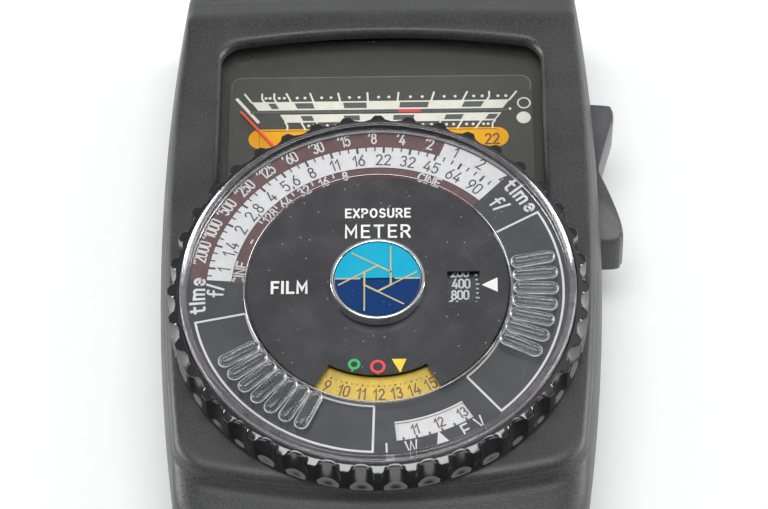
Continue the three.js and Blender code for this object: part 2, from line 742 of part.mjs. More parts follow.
const emblemDisc = () => round(CAP_R - 0.85, [CAP_Z1 - 0.4, CAP_Z1 - 0.12], [0, 0], 36);

// ---- Assembly -----------------------------------------------------------------------------
const meter = new THREE.Group();

function piece(name, made, material) {
  const mesh = new THREE.Mesh(geometryOf(made), material.clone());
  mesh.name = name;
  meter.add(mesh);
}

piece("front_cover", frontCover(), FINISH.shell);
piece("back_cover", backCover(), FINISH.shell);
piece("back_plate", backPlate(), FINISH.steel);
piece("battery_door", batteryDoor(), FINISH.shell);
piece("door_contact_strip", doorContactStrip(), FINISH.brass);
piece("battery_tray", batteryTray(), FINISH.print);
[-1, 1].forEach((side, i) => {
  piece(`button_cell_${i + 1}`, buttonCell(side * CELL_X), FINISH.steel);
  piece(`cell_contact_${i + 1}`, cellContact(side * CELL_X), FINISH.brass);
  piece(`chassis_screw_${i + 1}`, chassisScrew(side * 22), FINISH.brass);
  piece(`contact_leaf_${i + 1}`, contactLeaf(side), FINISH.brass);
});
piece("battery_test_button", batteryTestButton(), FINISH.white);
piece("button_spring", coilSpring(TEST_BUTTON, [3.5, 7], 1.8, 0.2, 4), FINISH.steel);
piece("zero_adjust_screw", zeroAdjustScrew(), FINISH.brass);
POSTS.forEach((place, i) => piece(`case_screw_${i + 1}`, caseScrew(place), FINISH.steel));
piece("strap_lug", strapLug(), FINISH.gloss);
piece("circuit_board", circuitBoard(), FINISH.board);
[-18, -10, 12].forEach((x, i) => piece(`range_resistor_${i + 1}`, resistor(x, -10), FINISH.resistor));
[-4, 20].forEach((x, i) => piece(`calibration_trimmer_${i + 1}`, trimmer(x, -20), FINISH.white));
piece("window_glass", windowGlass(), FINISH.clear);
piece("scale_plate", scalePlate(), FINISH.mask);
piece("chassis_plate", chassisPlate(), FINISH.mask);
piece("magnet_core", magnetCore(), FINISH.steel);
piece("yoke_ring", yokeRing(), FINISH.steel);
piece("upper_bridge", upperBridge(), FINISH.brass);
piece("lower_bridge", lowerBridge(), FINISH.brass);
piece("upper_jewel", jewel([24.3, 24.8]), FINISH.red);
piece("lower_jewel", jewel([4.6, 5.3]), FINISH.red);
piece("moving_coil", movingCoil(), FINISH.copper);
piece("needle_staff", needleStaff(), FINISH.steel);
piece("needle", needle(), FINISH.red);
piece("hairspring", hairspring(), FINISH.brass);
piece("rocker", rocker(), FINISH.shell);
piece("rocker_pin", rockerPin(), FINISH.steel);
piece("switch_base", switchBase(), FINISH.board);
piece("slide_track", slideTrack(), FINISH.shell);
piece("diffuser_slider", diffuserSlider(), FINISH.gloss);
piece("diffuser_dome", diffuserDome(), FINISH.white);
piece("cell_window", cellWindow(), FINISH.clear);
piece("cds_cell", cdsCell(), FINISH.resistor);
piece("cell_holder", cellHolder(), FINISH.print);
piece("dial_hub", dialHub(), FINISH.brass);
piece("spring_washer", springWasher(), FINISH.steel);
piece("setting_ring", settingRing(), FINISH.gloss);
piece("scale_disc", scaleDisc(), FINISH.print);
piece("aperture_disc", apertureDisc(), FINISH.clear);
piece("centre_disc", centreDisc(), FINISH.print);
piece("dial_screw", dialScrew(), FINISH.steel);
piece("emblem_rim", emblemRim(), FINISH.chrome);
piece("emblem_disc", emblemDisc(), FINISH.enamel);

export default meter;
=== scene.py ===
# %% [markdown]
# # A handheld light meter
# The meter lies on its back with its calculator dial up. Its working parts come from the packed
# CAD model: they hold every size, place and joint. This script only adds what the eye sees, which
# is fine shells, printed scales, clear plastic and the finish of every surface.

# %% Load the frame
import json
import math

import bmesh
import bpy
from mathutils import Matrix, Vector


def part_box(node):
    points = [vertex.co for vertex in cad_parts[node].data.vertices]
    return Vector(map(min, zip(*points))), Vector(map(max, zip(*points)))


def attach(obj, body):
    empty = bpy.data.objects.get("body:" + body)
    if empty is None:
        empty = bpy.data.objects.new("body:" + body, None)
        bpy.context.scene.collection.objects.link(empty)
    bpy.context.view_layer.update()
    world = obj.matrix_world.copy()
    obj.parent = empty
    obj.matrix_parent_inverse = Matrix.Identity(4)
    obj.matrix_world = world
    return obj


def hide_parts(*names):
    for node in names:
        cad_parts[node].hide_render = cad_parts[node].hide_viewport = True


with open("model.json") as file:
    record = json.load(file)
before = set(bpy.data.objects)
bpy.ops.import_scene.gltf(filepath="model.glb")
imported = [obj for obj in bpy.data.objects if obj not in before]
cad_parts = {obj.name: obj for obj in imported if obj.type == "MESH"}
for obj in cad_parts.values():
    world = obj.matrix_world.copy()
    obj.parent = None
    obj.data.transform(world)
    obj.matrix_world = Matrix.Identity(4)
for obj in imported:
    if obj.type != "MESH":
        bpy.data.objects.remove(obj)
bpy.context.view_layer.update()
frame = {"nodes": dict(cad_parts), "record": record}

MM = 0.001  # the shapes below are written in millimetres, and Blender works in metres
scene = bpy.context.scene

# %% [markdown]
# ## Where things are
# Heights and radii of the dial's layers are read from the CAD nodes, so that a new pack moves the
# looks along with it. A node's box gives its radius where it is round, and its top and underside.


# %% Read the dial's levels from the frame
def top_of(node):
    """Height of a node's highest point, in millimetres."""
    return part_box(node)[1].z / MM


def foot_of(node):
    """Height of a node's lowest point."""
    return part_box(node)[0].z / MM


def radius_of(node):
    """Radius of a round node on the dial's axis."""
    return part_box(node)[1].x / MM


FACE_Z = top_of("front_cover")  # the flat face round the dial
DIAL_R = radius_of("setting_ring")
DIAL_FOOT = foot_of("setting_ring")
DIAL_TOP = top_of("setting_ring")
SCALE_TOP = top_of("scale_disc")
CLEAR_R = radius_of("aperture_disc")
CLEAR_FOOT = foot_of("aperture_disc")
CENTRE_R = radius_of("centre_disc")
CENTRE_FOOT = foot_of("centre_disc")
CENTRE_TOP = top_of("centre_disc")
CAP_R = radius_of("emblem_rim")
CAP_TOP = top_of("emblem_rim")
PLATE_TOP = top_of("scale_plate")
NEEDLE_Y = (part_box("needle_staff")[0].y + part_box("needle_staff")[1].y) / 2 / MM
print(f"dial radius {DIAL_R:.1f} mm, face at {FACE_Z:.1f} mm, needle pivot at y {NEEDLE_Y:.1f} mm")

# %% [markdown]
# ## Camera
# A small object is best seen from above and through a long lens, so that its near and far edges
# stay in proportion. The camera aims at the dial's centre, from about 32 degrees off the vertical,
# and a small shift places the meter in the frame without turning the camera.

# %% Camera
TILT = math.radians(31.62)  # off the vertical, towards the near end
SWING = math.radians(1.0)
DISTANCE = 0.5
LENS = 153.3  # in millimetres, as the sensor's width
SHIFT = (0.0069, 0.0701)
aim = Vector((0, 0, FACE_Z * MM))
toward = Vector((math.sin(SWING), -math.sin(TILT) * math.cos(SWING), math.cos(TILT) * math.cos(SWING)))

camera_data = bpy.data.cameras.new("camera")
camera_data.sensor_width = 36
camera_data.lens = LENS
camera_data.shift_x, camera_data.shift_y = SHIFT
camera = bpy.data.objects.new("camera", camera_data)
camera.location = aim + toward * DISTANCE
right = Vector((0, 1, 0)).cross(toward).normalized()  # keeps the meter upright in the frame
camera.rotation_euler = Matrix((right, toward.cross(right), toward)).transposed().to_euler()
scene.collection.objects.link(camera)
scene.camera = camera
print("camera at", [round(c, 3) for c in camera.location])

# %% [markdown]
# ## Studio
# Black plastic has hardly any colour of its own: what the eye sees is the room in its surface.
# So the lights are large panels. One hangs overhead for the rounded edges. A broad faint one beyond
# the far end lies in the mirror direction of the flat faces and gives them their sheen. Two low
# ones stand at the sides, and the room itself is a dim, even grey.


# %% Lights
def softbox(name, place, size, power):
    """A square panel that shines at the meter."""
    data = bpy.data.lights.new(name, "AREA")
    data.shape = "RECTANGLE"
    data.size, data.size_y = size
    data.energy = power
    panel = bpy.data.objects.new(name, data)
    panel.location = place
    panel.rotation_euler = (Vector(place) - aim).to_track_quat("Z", "Y").to_euler()
    scene.collection.objects.link(panel)


softbox("overhead", (0, 0.0, 0.9), (0.6, 0.42), 4.6)
softbox("far_panel", (0.34, 0.58, 0.98), (1.0, 0.6), 0.62)
softbox("left_panel", (-0.75, 0.1, 0.22), (0.5, 0.35), 5.8)
softbox("right_panel", (0.75, 0.1, 0.22), (0.5, 0.35), 5.8)

room = bpy.data.worlds.new("room")
room.use_nodes = True
dim_grey = room.node_tree.nodes["Background"].inputs
dim_grey["Color"].default_value = (0.96, 0.98, 1, 1)
dim_grey["Strength"].default_value = 0.26
scene.world = room
scene.view_settings.view_transform = "Standard"
print("panels: overhead, far, left and right")

# %% [markdown]
# ## Shader maths
# A finish is a short calculation: some noise, a threshold, a mix. Written as node calls it gets
# long, so one small class wraps a socket. Adding or multiplying two of them adds the Math node,
# and the add method makes any other node from its type, its settings and what goes into it.


# %% A socket that can be calculated with
class Flow:
    """A value on its way through a material's nodes."""

    def __init__(self, tree, socket=None):
        self.tree = tree
        self.socket = socket

    def add(self, kind, settings=None, inputs=None, output=0):
        """Any node: its settings first, then its sockets, and back comes one of its outputs."""
        node = self.tree.nodes.new("ShaderNode" + kind)
        for name, value in (settings or {}).items():
            if name == "stops":
                for element, (position, grey) in zip(node.color_ramp.elements, value):
                    element.position = position
                    element.color = (grey, grey, grey, 1)
            else:
                setattr(node, name, value)
        for name, value in (inputs or {}).items():
            if isinstance(value, Flow):
                self.tree.links.new(value.socket, node.inputs[name])
            else:
                node.inputs[name].default_value = value
        return Flow(self.tree, node.outputs[output] if len(node.outputs) else None)

    def __add__(self, other):
        return self.add("Math", {"operation": "ADD"}, {0: self, 1: other})

    __radd__ = __add__

    def __mul__(self, other):
        return self.add("Math", {"operation": "MULTIPLY"}, {0: self, 1: other})

    __rmul__ = __mul__

    def __sub__(self, other):
        return self.add("Math", {"operation": "SUBTRACT"}, {0: self, 1: other})

    def __rsub__(self, other):
        return self.add("Math", {"operation": "SUBTRACT"}, {0: other, 1: self})


# %% [markdown]
# ## Building blocks of a finish
# Moulded, printed, turned and polished surfaces differ in a few things: how the colour drifts, how
# fine the grain is, how it is scratched and how dusty it is. Each gets a helper. Noise that is
# stretched a lot becomes scratches, and a steep ramp keeps only its strongest lines.


# %% Noise, scratches and specks
def along(start, stretch=(1, 1, 1), turn=0.0):
    """A place on the piece, turned about Z in degrees and then stretched, in metres."""
    place = start.add("TexCoord", output="Object")
    return start.add(
        "Mapping",
        {"vector_type": "TEXTURE"},
        {"Vector": place, "Rotation": (0, 0, math.radians(turn)), "Scale": stretch},
    )


def cloud(start, size, detail=3.0, stretch=(1, 1, 1), turn=0.0):
    """Soft noise whose patches are about size millimetres wide."""
    place = along(start, stretch, turn)
    return start.add("TexNoise", None, {"Vector": place, "Scale": 1 / (size * MM), "Detail": detail})


def ramp(value, low, high, dark=0.0, light=1.0):
    """The value spread from low..high to dark..light, and held there outside it."""
    stops = [(low, dark), (high, light)]
    return value.add("ValToRGB", {"stops": stops}, {"Fac": value})


def scratches(start, spacing, turn, share=0.30):
    """Thin lines that lie along one direction."""
    lines = cloud(start, spacing, 2.0, (60, 1, 1), turn)
    return ramp(lines, 1 - share, 1 - share + 0.05)


def specks(start, spacing, size):
    """Scattered round grains, as of dust."""
    cells = {"Vector": along(start), "Scale": 1 / (spacing * MM)}
    distance = start.add("TexVoronoi", None, cells, "Distance")
    return 1 - ramp(distance, size * 0.5, size)


def tint(start, amount, colour, other):
    """A colour between two, by a factor."""
    shades = {i: c if isinstance(c, Flow) else (*c, 1) for i, c in ((6, colour), (7, other))}
    return start.add("Mix", {"data_type": "RGBA"}, {"Factor": amount, **shades}, 2)


# %% A fresh material
def new_finish(name):
    """An empty material, and a start for its nodes."""
    finish = bpy.data.materials.new(name)
    finish.use_nodes = True
    finish.node_tree.nodes.clear()
    return finish, Flow(finish.node_tree)


def bumps(start, height, depth):
    """A normal from a height between 0 and 1 that is depth millimetres deep."""
    return start.add("Bump", None, {"Height": height, "Strength": 1.0, "Distance": depth * MM})


def cover_with(start, shader):
    """The finished shader becomes the surface."""
    start.add("OutputMaterial", None, {"Surface": shader})


# %% [markdown]
# ## Moulded plastic
# The case is injection moulded in black plastic with a fine spark-eroded grain. Under the light it
# looks dark grey with a pepper of lighter points. Those points are painted: the grain's raised
# points get a lighter colour, a painted highlight of the light they catch. The grain is also real
# relief here, about a third of a millimetre wide, and use has polished it a little in patches.


# %% Moulded plastics
def shade(colour, factor):
    """A lighter or darker version of a colour."""
    return tuple(min(1.0, c * factor) for c in colour)


def moulded(name, colour, rough, grain, depth, drift=0.2):
    """Plastic with a grain of that size and depth in millimetres."""
    finish, start = new_finish(name)
    patches = cloud(start, 9, 4.0)
    pepper = cloud(start, grain, 2.0)
    raised = ramp(pepper, 0.35, 0.7)
    body = tint(start, ramp(patches, 0.3, 0.7), shade(colour, 1 - drift), shade(colour, 1 + drift))
    # painted highlight: the grain's raised points are coloured lighter, as where they catch the light
    grain_painted_highlight = tint(start, raised, shade(colour, 1 - 1.5 * drift), shade(colour, 1 + 2.6 * drift))
    mixed = start.add("Mix", {"data_type": "RGBA"}, {"Factor": 0.6, 6: body, 7: grain_painted_highlight}, 2)
    polish = ramp(patches, 0.35, 0.65, rough - 0.07, rough + 0.05)
    inputs = {
        "Base Color": mixed,
        "Roughness": polish + raised * 0.05,
        "Normal": bumps(start, pepper, depth),
    }
    cover_with(start, start.add("BsdfPrincipled", None, inputs))
    return finish


FINISH = {
    "shell": moulded("grained_case", (0.036, 0.036, 0.0362), 0.42, 0.3, 0.03, 0.34),
    "rocker_plastic": moulded("grained_rocker", (0.085, 0.085, 0.088), 0.4, 0.22, 0.015),
    "inner_plastic": moulded("inner_moulding", (0.02, 0.02, 0.021), 0.6, 0.5, 0.02),
    "ivory_plastic": moulded("ivory_button", (0.62, 0.57, 0.44), 0.42, 0.8, 0.01, 0.07),
    "opal_white": moulded("opal_diffuser", (0.84, 0.84, 0.8), 0.38, 1.2, 0.008, 0.05),
    "mask": moulded("painted_chassis", (0.042, 0.042, 0.039), 0.62, 0.3, 0.01),
    "board": moulded("pressed_board", (0.2, 0.11, 0.05), 0.6, 0.4, 0.02),
    "resistor": moulded("resistor_lacquer", (0.5, 0.33, 0.15), 0.45, 0.6, 0.01),
    "cell_ceramic": moulded("cell_ceramic", (0.5, 0.2, 0.1), 0.5, 0.5, 0.01),
    "magnet": moulded("sintered_magnet", (0.07, 0.065, 0.06), 0.45, 0.4, 0.02),
    "jewel": moulded("jewel_bearing", (0.5, 0.02, 0.08), 0.12, 1.0, 0.002),
}
print("moulded finishes:", len(FINISH))

# %% [markdown]
# ## Polished plastic and lacquer
# The knurled ring and the printed discs are glossy. Gloss is honest about handling: it shows haze,
# hairline scratches and dust, so those come in as lighter colour and rougher spots.


# %% Polished plastics
def polished(name, colour, rough=0.12, haze=0.02, dust=0.5, bend=1.5):
    """A shiny dark surface with haze, hairlines and dust on it."""
    finish, start = new_finish(name)
    smear = ramp(cloud(start, 6, 5.0), 0.4, 0.75)
    hairs = scratches(start, 0.12, 35) + scratches(start, 0.12, 118)
    grains = specks(start, 1.6, 0.09) * dust
    veiled = tint(start, smear, colour, tuple(c + haze for c in colour))
    marked = tint(start, hairs * 0.12, veiled, (0.35, 0.35, 0.37))
    dusty = tint(start, grains * 0.5, marked, (0.5, 0.5, 0.48))
    wave = cloud(start, 4, 2.0)
    inputs = {
        "Base Color": dusty,
        "Roughness": rough + smear * 0.06 + hairs * 0.1 + grains * 0.3,
        "Normal": bumps(start, wave - hairs * 0.02, 0.02),
        "IOR": bend,
    }
    cover_with(start, start.add("BsdfPrincipled", None, inputs))
    return finish


FINISH["black_gloss"] = polished("polished_ring", (0.007, 0.007, 0.008), 0.11, 0.004, 0.1, 1.85)
FINISH["dial_print"] = polished("scale_ground", (0.012, 0.012, 0.013), 0.3)
FINISH["disc_lacquer"] = polished("centre_lacquer", (0.036, 0.036, 0.041), 0.22, 0.025, 1.0)
MASK_LACQUER = polished("mask_lacquer", (0.026, 0.027, 0.031), 0.3, 0.02)
FINISH["enamel"] = polished("enamel_ground", (0.01, 0.03, 0.1), 0.12, 0.0, 0.3)
SKY_ENAMEL = polished("sky_enamel", (0.004, 0.36, 0.55), 0.14, 0.01, 0.3, 1.36)
NIGHT_ENAMEL = polished("night_enamel", (0.002, 0.032, 0.14), 0.14, 0.003, 0.3, 1.3)
print("polished finishes:", len(FINISH))

# %% [markdown]
# ## Printing inks
# The scales are screen printed. Ink lies a little unevenly, so its colour drifts and its surface
# is dull in places. Each colour is one finish, used wherever that colour is printed.


# %% Inks
def ink(name, colour, drift=0.06, rough=0.42, gloss=0.5):
    """Matt screen-printing ink."""
    finish, start = new_finish(name)
    thin = cloud(start, 1.4, 4.0)
    grit = cloud(start, 0.16, 2.0)
    laid = tint(start, ramp(thin, 0.3, 0.7), shade(colour, 1 - drift), shade(colour, 1 + drift))
    inputs = {
        "Base Color": tint(start, ramp(grit, 0.35, 0.75) * 0.25, laid, shade(colour, 0.8)),
        "Roughness": ramp(thin, 0.3, 0.7, rough - 0.06, rough + 0.08),
        "Normal": bumps(start, grit, 0.004),
        "Specular IOR Level": gloss,
    }
    cover_with(start, start.add("BsdfPrincipled", None, inputs))
    return finish


WHITE_INK = ink("white_ink", (0.8, 0.8, 0.775))
PALE_INK = ink("scale_white_ink", (0.86, 0.87, 0.78))
DARK_INK = ink("dark_ink", (0.035, 0.035, 0.037))
MAROON_INK = ink("maroon_ink", (0.125, 0.045, 0.042), 0.16)
# ink for the bead's lining, and for the painted highlight along the scale plate's top edge
LINING_AND_PAINTED_HIGHLIGHT_INK = ink("bead_lining", (0.20, 0.18, 0.205), 0.2, 0.3)
BROWN_INK = ink("brown_ink", (0.16, 0.05, 0.045))
YELLOW_INK = ink("yellow_ink", (0.86, 0.60, 0.05), 0.1)
AMBER_INK = ink("amber_ink", (0.98, 0.46, 0.004), 0.04, 0.5, 0.12)
GREEN_INK = ink("green_ink", (0.03, 0.42, 0.12))
RED_INK = ink("red_ink", (0.75, 0.06, 0.07))
GREY_INK = ink("grey_ink", (0.10, 0.105, 0.11))
FINISH["scale_print"] = ink("scale_plate_paint", (0.066, 0.067, 0.06), 0.1, 0.55, 0.35)
FINISH["needle_red"] = ink("needle_paint", (0.95, 0.12, 0.05), 0.04, 0.5, 0.2)
# ink for painted highlights: outlines that stand in for the finger ribs' glints
PAINTED_RIB_GLINT = ink("rib_glint", (0.46, 0.46, 0.49), 0.35, 0.25)
print("inks are mixed")

# %% [markdown]
# ## Metals
# Turned and stamped metal shows the marks of its tool. Stretched noise in the roughness and a
# faint relief read as brushing, and a cloudy stain darkens it where it has been touched.


# %% Metals
def worked_metal(name, colour, rough, brush=(1, 30, 1), stain=0.25):
    """Metal with fine tool marks and a little tarnish."""
    finish, start = new_finish(name)
    strokes = cloud(start, 0.5, 3.0, brush)
    clouds = ramp(cloud(start, 3, 4.0), 0.45, 0.8)
    inputs = {
        "Base Color": tint(start, clouds * stain, colour, shade(colour, 0.45)),
        "Metallic": 1 - clouds * 0.1,
        "Roughness": rough + strokes * 0.12 + clouds * 0.1,
        "Normal": bumps(start, strokes, 0.004),
    }
    cover_with(start, start.add("BsdfPrincipled", None, inputs))
    return finish


FINISH["anodised_plate"] = worked_metal("brushed_plate", (0.62, 0.62, 0.61), 0.3, (40, 1, 1))
FINISH["spring_brass"] = worked_metal("spring_brass", (0.78, 0.57, 0.24), 0.25)
FINISH["brass"] = worked_metal("turned_brass", (0.72, 0.52, 0.25), 0.22)
FINISH["spring_steel"] = worked_metal("spring_steel", (0.5, 0.5, 0.52), 0.22)
FINISH["screw_steel"] = worked_metal("screw_steel", (0.56, 0.56, 0.57), 0.25)
FINISH["cell_steel"] = worked_metal("cell_can", (0.7, 0.7, 0.7), 0.2)
FINISH["copper_wire"] = worked_metal("copper_winding", (0.75, 0.3, 0.14), 0.3, (1, 1, 40))
FINISH["bright_chrome"] = worked_metal("bright_rim", (0.82, 0.82, 0.84), 0.08, (1, 1, 1), 0.1)
GOLD = worked_metal("gold_line", (0.72, 0.62, 0.33), 0.32, (1, 1, 1), 0.15)
print("metal finishes are made")

# %% [markdown]
# ## Clear plastic
# Flat clear parts don't bend light enough to see, so they are a mix of a see-through and a mirror
# shader. It mirrors more, the flatter one looks at it, by Schlick's rule: the fifth power of how far
# the surface faces away. The prints below stay crisp that way. Thick rounded parts, such as the bead
# and the finger ribs, do bend light. They are a little dull, so that their glints are soft.


# %% Clear finishes
def clear_sheet(name, colour, haze, shine):
    """Flat clear plastic with hairlines and dust on it."""
    finish, start = new_finish(name)
    hairs = scratches(start, 0.1, 20) + scratches(start, 0.1, 75) + scratches(start, 0.14, 140)
    dust = specks(start, 1.3, 0.07)
    relief = bumps(start, cloud(start, 7, 2.0), 0.02)
    glass = start.add("BsdfTransparent", None, {"Color": (*colour, 1)})
    mirror = start.add("BsdfGlossy", None, {"Roughness": 0.09, "Normal": relief})
    film = start.add("BsdfDiffuse", None, {"Color": (0.75, 0.76, 0.8, 1)})
    away = start.add("LayerWeight", None, {"Blend": 0.5}, "Facing")
    edge = away * away * away * away * away * (1 - shine) + shine
    lit = start.add("MixShader", None, {"Fac": edge, 1: glass, 2: mirror})
    smear = ramp(cloud(start, 8, 5.0), 0.35, 0.8)
    veil = hairs * 0.10 + dust * 0.4 + smear * haze + haze
    cover_with(start, start.add("MixShader", None, {"Fac": veil, 1: lit, 2: film}))
    return finish


def clear_moulding(name, colour):
    """Thick clear plastic that bends light."""
    finish, start = new_finish(name)
    wave = cloud(start, 2.5, 2.0)
    inputs = {
        "Base Color": tint(start, ramp(wave, 0.3, 0.7), colour, shade(colour, 0.96)),
        "Roughness": ramp(wave, 0.3, 0.7, 0.14, 0.22),
        "Transmission Weight": 1.0,
        "IOR": 1.49,
        "Normal": bumps(start, wave, 0.02),
    }
    cover_with(start, start.add("BsdfPrincipled", None, inputs))
    return finish


FINISH["clear_disc"] = clear_sheet("clear_disc", (0.99, 0.99, 1.0), 0.006, 0.045)
FINISH["clear_window"] = clear_sheet("clear_window", (0.99, 0.99, 0.98), 0.002, 0.02)
# a bright metal for the hoop on the clear disc's step, which stands in for the step's glint: a painted
# highlight
STEP_PAINTED_GLINT = worked_metal("step_painted_glint", (0.42, 0.42, 0.44), 0.18, (1, 1, 1), 0.3)
CLEAR_BEAD = clear_moulding("clear_bead", (0.95, 0.95, 0.96))

for row in frame["record"]["subparts"]:
    slots = frame["nodes"][row["node"]].data.materials
    slots.clear()
    slots.append(FINISH[row["material_slot"]])
print("finishes on CAD nodes:", len(frame["nodes"]))

# %% [markdown]
# ## Mesh tools
# Nearly every shape here is a skin over a row of closed outlines: circles make turned pieces, the
# case's barrel outline makes the shells. One function lays that skin. The rest is cutting, done
# with exact booleans, and a helper that names, smooths and places the finished piece.


# %% Skins, circles and pieces
ROUND = 144  # points round a large circle


def circle(radius, z, count=ROUND, centre=(0, 0)):
    """A level circle as points."""
    turns = [2 * math.pi * i / count for i in range(count)]
    return [(centre[0] + radius * math.cos(a), centre[1] + radius * math.sin(a), z) for a in turns]


def skin(loops, ring=False):
    """Points and faces over closed outlines with equally many points, with ends or as a ring."""
    count = len(loops[0])
    points = [p for loop in loops for p in loop]
    rows = len(loops)
    faces = []
    for j in range(rows if ring else rows - 1):
        here, there = j * count, (j + 1) % rows * count
        for i in range(count):
            k = (i + 1) % count
            faces.append((here + i, here + k, there + k, there + i))
    if not ring:
        faces.append(tuple(reversed(range(count))))
        faces.append(tuple(range((rows - 1) * count, rows * count)))
    return points, faces


def turned(profile, count=ROUND, centre=(0, 0)):
    """A ring turned on a vertical axis from a closed profile of (radius, z)."""
    return skin([circle(r, z, count, centre) for r, z in profile], ring=True)


def joined(parts):
    """Several skins as one list of points and faces."""
    points, faces = [], []
    for more, sides in parts:
        faces += [tuple(i + len(points) for i in side) for side in sides]
        points += more
    return points, faces


def body_of_mesh(name, shape):
    """A Blender object from points in millimetres and faces, with its faces pointing out."""
    points, faces = shape
    mesh = bpy.data.meshes.new(name)
    mesh.from_pydata([[c * MM for c in p] for p in points], [], faces)
    work = bmesh.new()
    work.from_mesh(mesh)
    bmesh.ops.recalc_face_normals(work, faces=work.faces)
    work.to_mesh(mesh)
    work.free()
    made = bpy.data.objects.new(name, mesh)
    scene.collection.objects.link(made)
    return made


def cut(piece, cutters, operation="DIFFERENCE"):
    """Takes the cutters out of the piece, or keeps only what they share."""
    for cutter in cutters:
        change = piece.modifiers.new("cut", "BOOLEAN")
        change.operation = operation
        change.solver = "EXACT"
        change.object = cutter
    ready = piece.evaluated_get(bpy.context.evaluated_depsgraph_get())
    mesh = bpy.data.meshes.new_from_object(ready)
    piece.modifiers.clear()
    piece.data = mesh
    for cutter in cutters:
        bpy.data.objects.remove(cutter)


def place(piece, finish, body, slot, stands_for=(), crease=32):
    """Gives a piece its finish, soft shading up to the crease angle, and the body it rides on."""
    piece.data.materials.clear()
    piece.data.materials.append(finish)
    piece.data.shade_smooth()
    piece.data.set_sharp_from_angle(angle=math.radians(crease))
    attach(piece, body)
    if stands_for:
        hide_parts(*stands_for)
    print(f"{piece.name}: {len(piece.data.polygons)} faces on {body}")
    return piece


def between(a, b, share):
    """The value that lies that share of the way from a to b."""
    return a + (b - a) * share


# %% [markdown]
# ## The case's outline
# Seen from above, the case is a barrel: its sides follow a shallow parabola, widest beside the
# dial's upper half, and its ends are slightly bowed. Every level of both shells is this outline
# with another inset and other ends, so one function draws them all. The corners are Bezier curves
# that start where their rounding does.

# %% Outline of the case
HALF_WIDTH = 34.5
WIDEST_Y = 18
SIDE_DROOP = 0.00143
LOW_BULGE = 4.0
GAP = 0.3
SEAM_Z = 18.0
ROUNDNESS = 0.55  # how far a corner's handles reach towards its point, for a near circle
FAR_CORNER = 0.3  # the far end's corners as a share of the near end's


def half_width(y, inset):
    """Half of the case's width at a place along it."""
    return HALF_WIDTH - SIDE_DROOP * (y - WIDEST_Y) ** 2 - inset


def bend(start, corner, end, steps=9):
    """Points of a rounded corner, without its last one."""
    first = [between(a, b, ROUNDNESS) for a, b in zip(start, corner)]
    second = [between(a, b, ROUNDNESS) for a, b in zip(end, corner)]
    points = []
    for i in range(steps):
        t = i / steps
        weights = ((1 - t) ** 3, 3 * t * (1 - t) ** 2, 3 * t * t * (1 - t), t**3)
        corners = (start, first, second, end)
        points.append(tuple(sum(w * p[k] for w, p in zip(weights, corners)) for k in (0, 1)))
    return points


def wider_right(x, y):
    """The right side stands out a hair more than the left, and more so towards the far end."""
    return x * (1.011 + 0.0004 * max(0, y - 30)) if x > 0 else x


def case_outline(inset, low, high, corner, bulge):
    """The barrel outline as (x, y), anticlockwise from the lower right corner's end."""
    far = corner * FAR_CORNER
    y0, y1 = low + LOW_BULGE, high - bulge
    top_half, low_half = half_width(y1, inset), half_width(y0, inset)

    def top(x):
        return high - bulge * (x / top_half) ** 2

    def bottom(x):
        return low + LOW_BULGE * (x / low_half) ** 2

    sides, ends = 26, 18
    right = [between(y0 + corner, y1 - far, i / sides) for i in range(sides)]
    points = [(half_width(y, inset), y) for y in right]
    upper = top_half - far
    points += bend((half_width(y1 - far, inset), y1 - far), (top_half, y1), (upper, top(upper)))
    points += [(x, top(x)) for x in (between(upper, -upper, i / ends) for i in range(ends))]
    points += bend((-upper, top(upper)), (-top_half, y1), (-half_width(y1 - far, inset), y1 - far))
    left = [between(y1 - far, y0 + corner, i / sides) for i in range(sides)]
    points += [(-half_width(y, inset), y) for y in left]
    lower = low_half - corner
    start = (-half_width(y0 + corner, inset), y0 + corner)
    points += bend(start, (-low_half, y0), (-lower, bottom(lower)))
    points += [(x, bottom(x)) for x in (between(-lower, lower, i / ends) for i in range(ends))]
    points += bend((lower, bottom(lower)), (low_half, y0), (start[0] * -1, start[1]))
    return [(wider_right(x, y), y) for x, y in points]


def smooth_value(p, q, r, s, t):
    """A value a share t of the way from q to r, on a curve that also heeds p and s."""
    square = 2 * p - 5 * q + 4 * r - s
    cube = 3 * q - p - 3 * r + s
    return 0.5 * (2 * q + (r - p) * t + square * t**2 + cube * t**3)


def smooth_row(stations, steps):
    """Rows of numbers that pass smoothly through the given ones, with steps between each two."""
    rows = []
    for i in range(len(stations) - 1):
        a, b = stations[max(i - 1, 0)], stations[i]
        c, d = stations[i + 1], stations[min(i + 2, len(stations) - 1)]
        for k in range(steps):
            rows.append(tuple(smooth_value(*four, k / steps) for four in zip(a, b, c, d)))
    return rows + [stations[-1]]


def case_solid(name, stations, steps=5, crown=()):
    """A closed solid of the case between its stations, with plain ones on top."""
    loops = []
    for z, inset, low, high, corner, bulge in smooth_row(stations, steps) + list(crown):
        loops.append([(x, y, z) for x, y in case_outline(inset, low, high, corner, bulge)])
    return body_of_mesh(name, skin(loops))


print("outline points:", len(case_outline(0, -42, 69, 7, 0.8)))

# %% [markdown]
# ## Front cover
# The upper shell carries everything: a sloping skirt rises from the seam to a shallow step, and
# above it lies a flat face. Its edge is a quarter circle at the sides, and a long soft curve at the
# far end. The stations below are heights with their inset, lower and upper end, corner and bow, and
# a smooth curve runs through them. The inside is taken out as a second solid, and the window is cut
# last with a cutter that flares, which rounds its edge.


# %% Front cover
WINDOW_X, WINDOW_HALF, WINDOW_LOW, WINDOW_HIGH = 0.35, 25.7, 17.0, 52.4
WINDOW_SAG, WINDOW_CORNER, WINDOW_FLARE = 2.4, 3.0, 1.0
WALL = 1.8

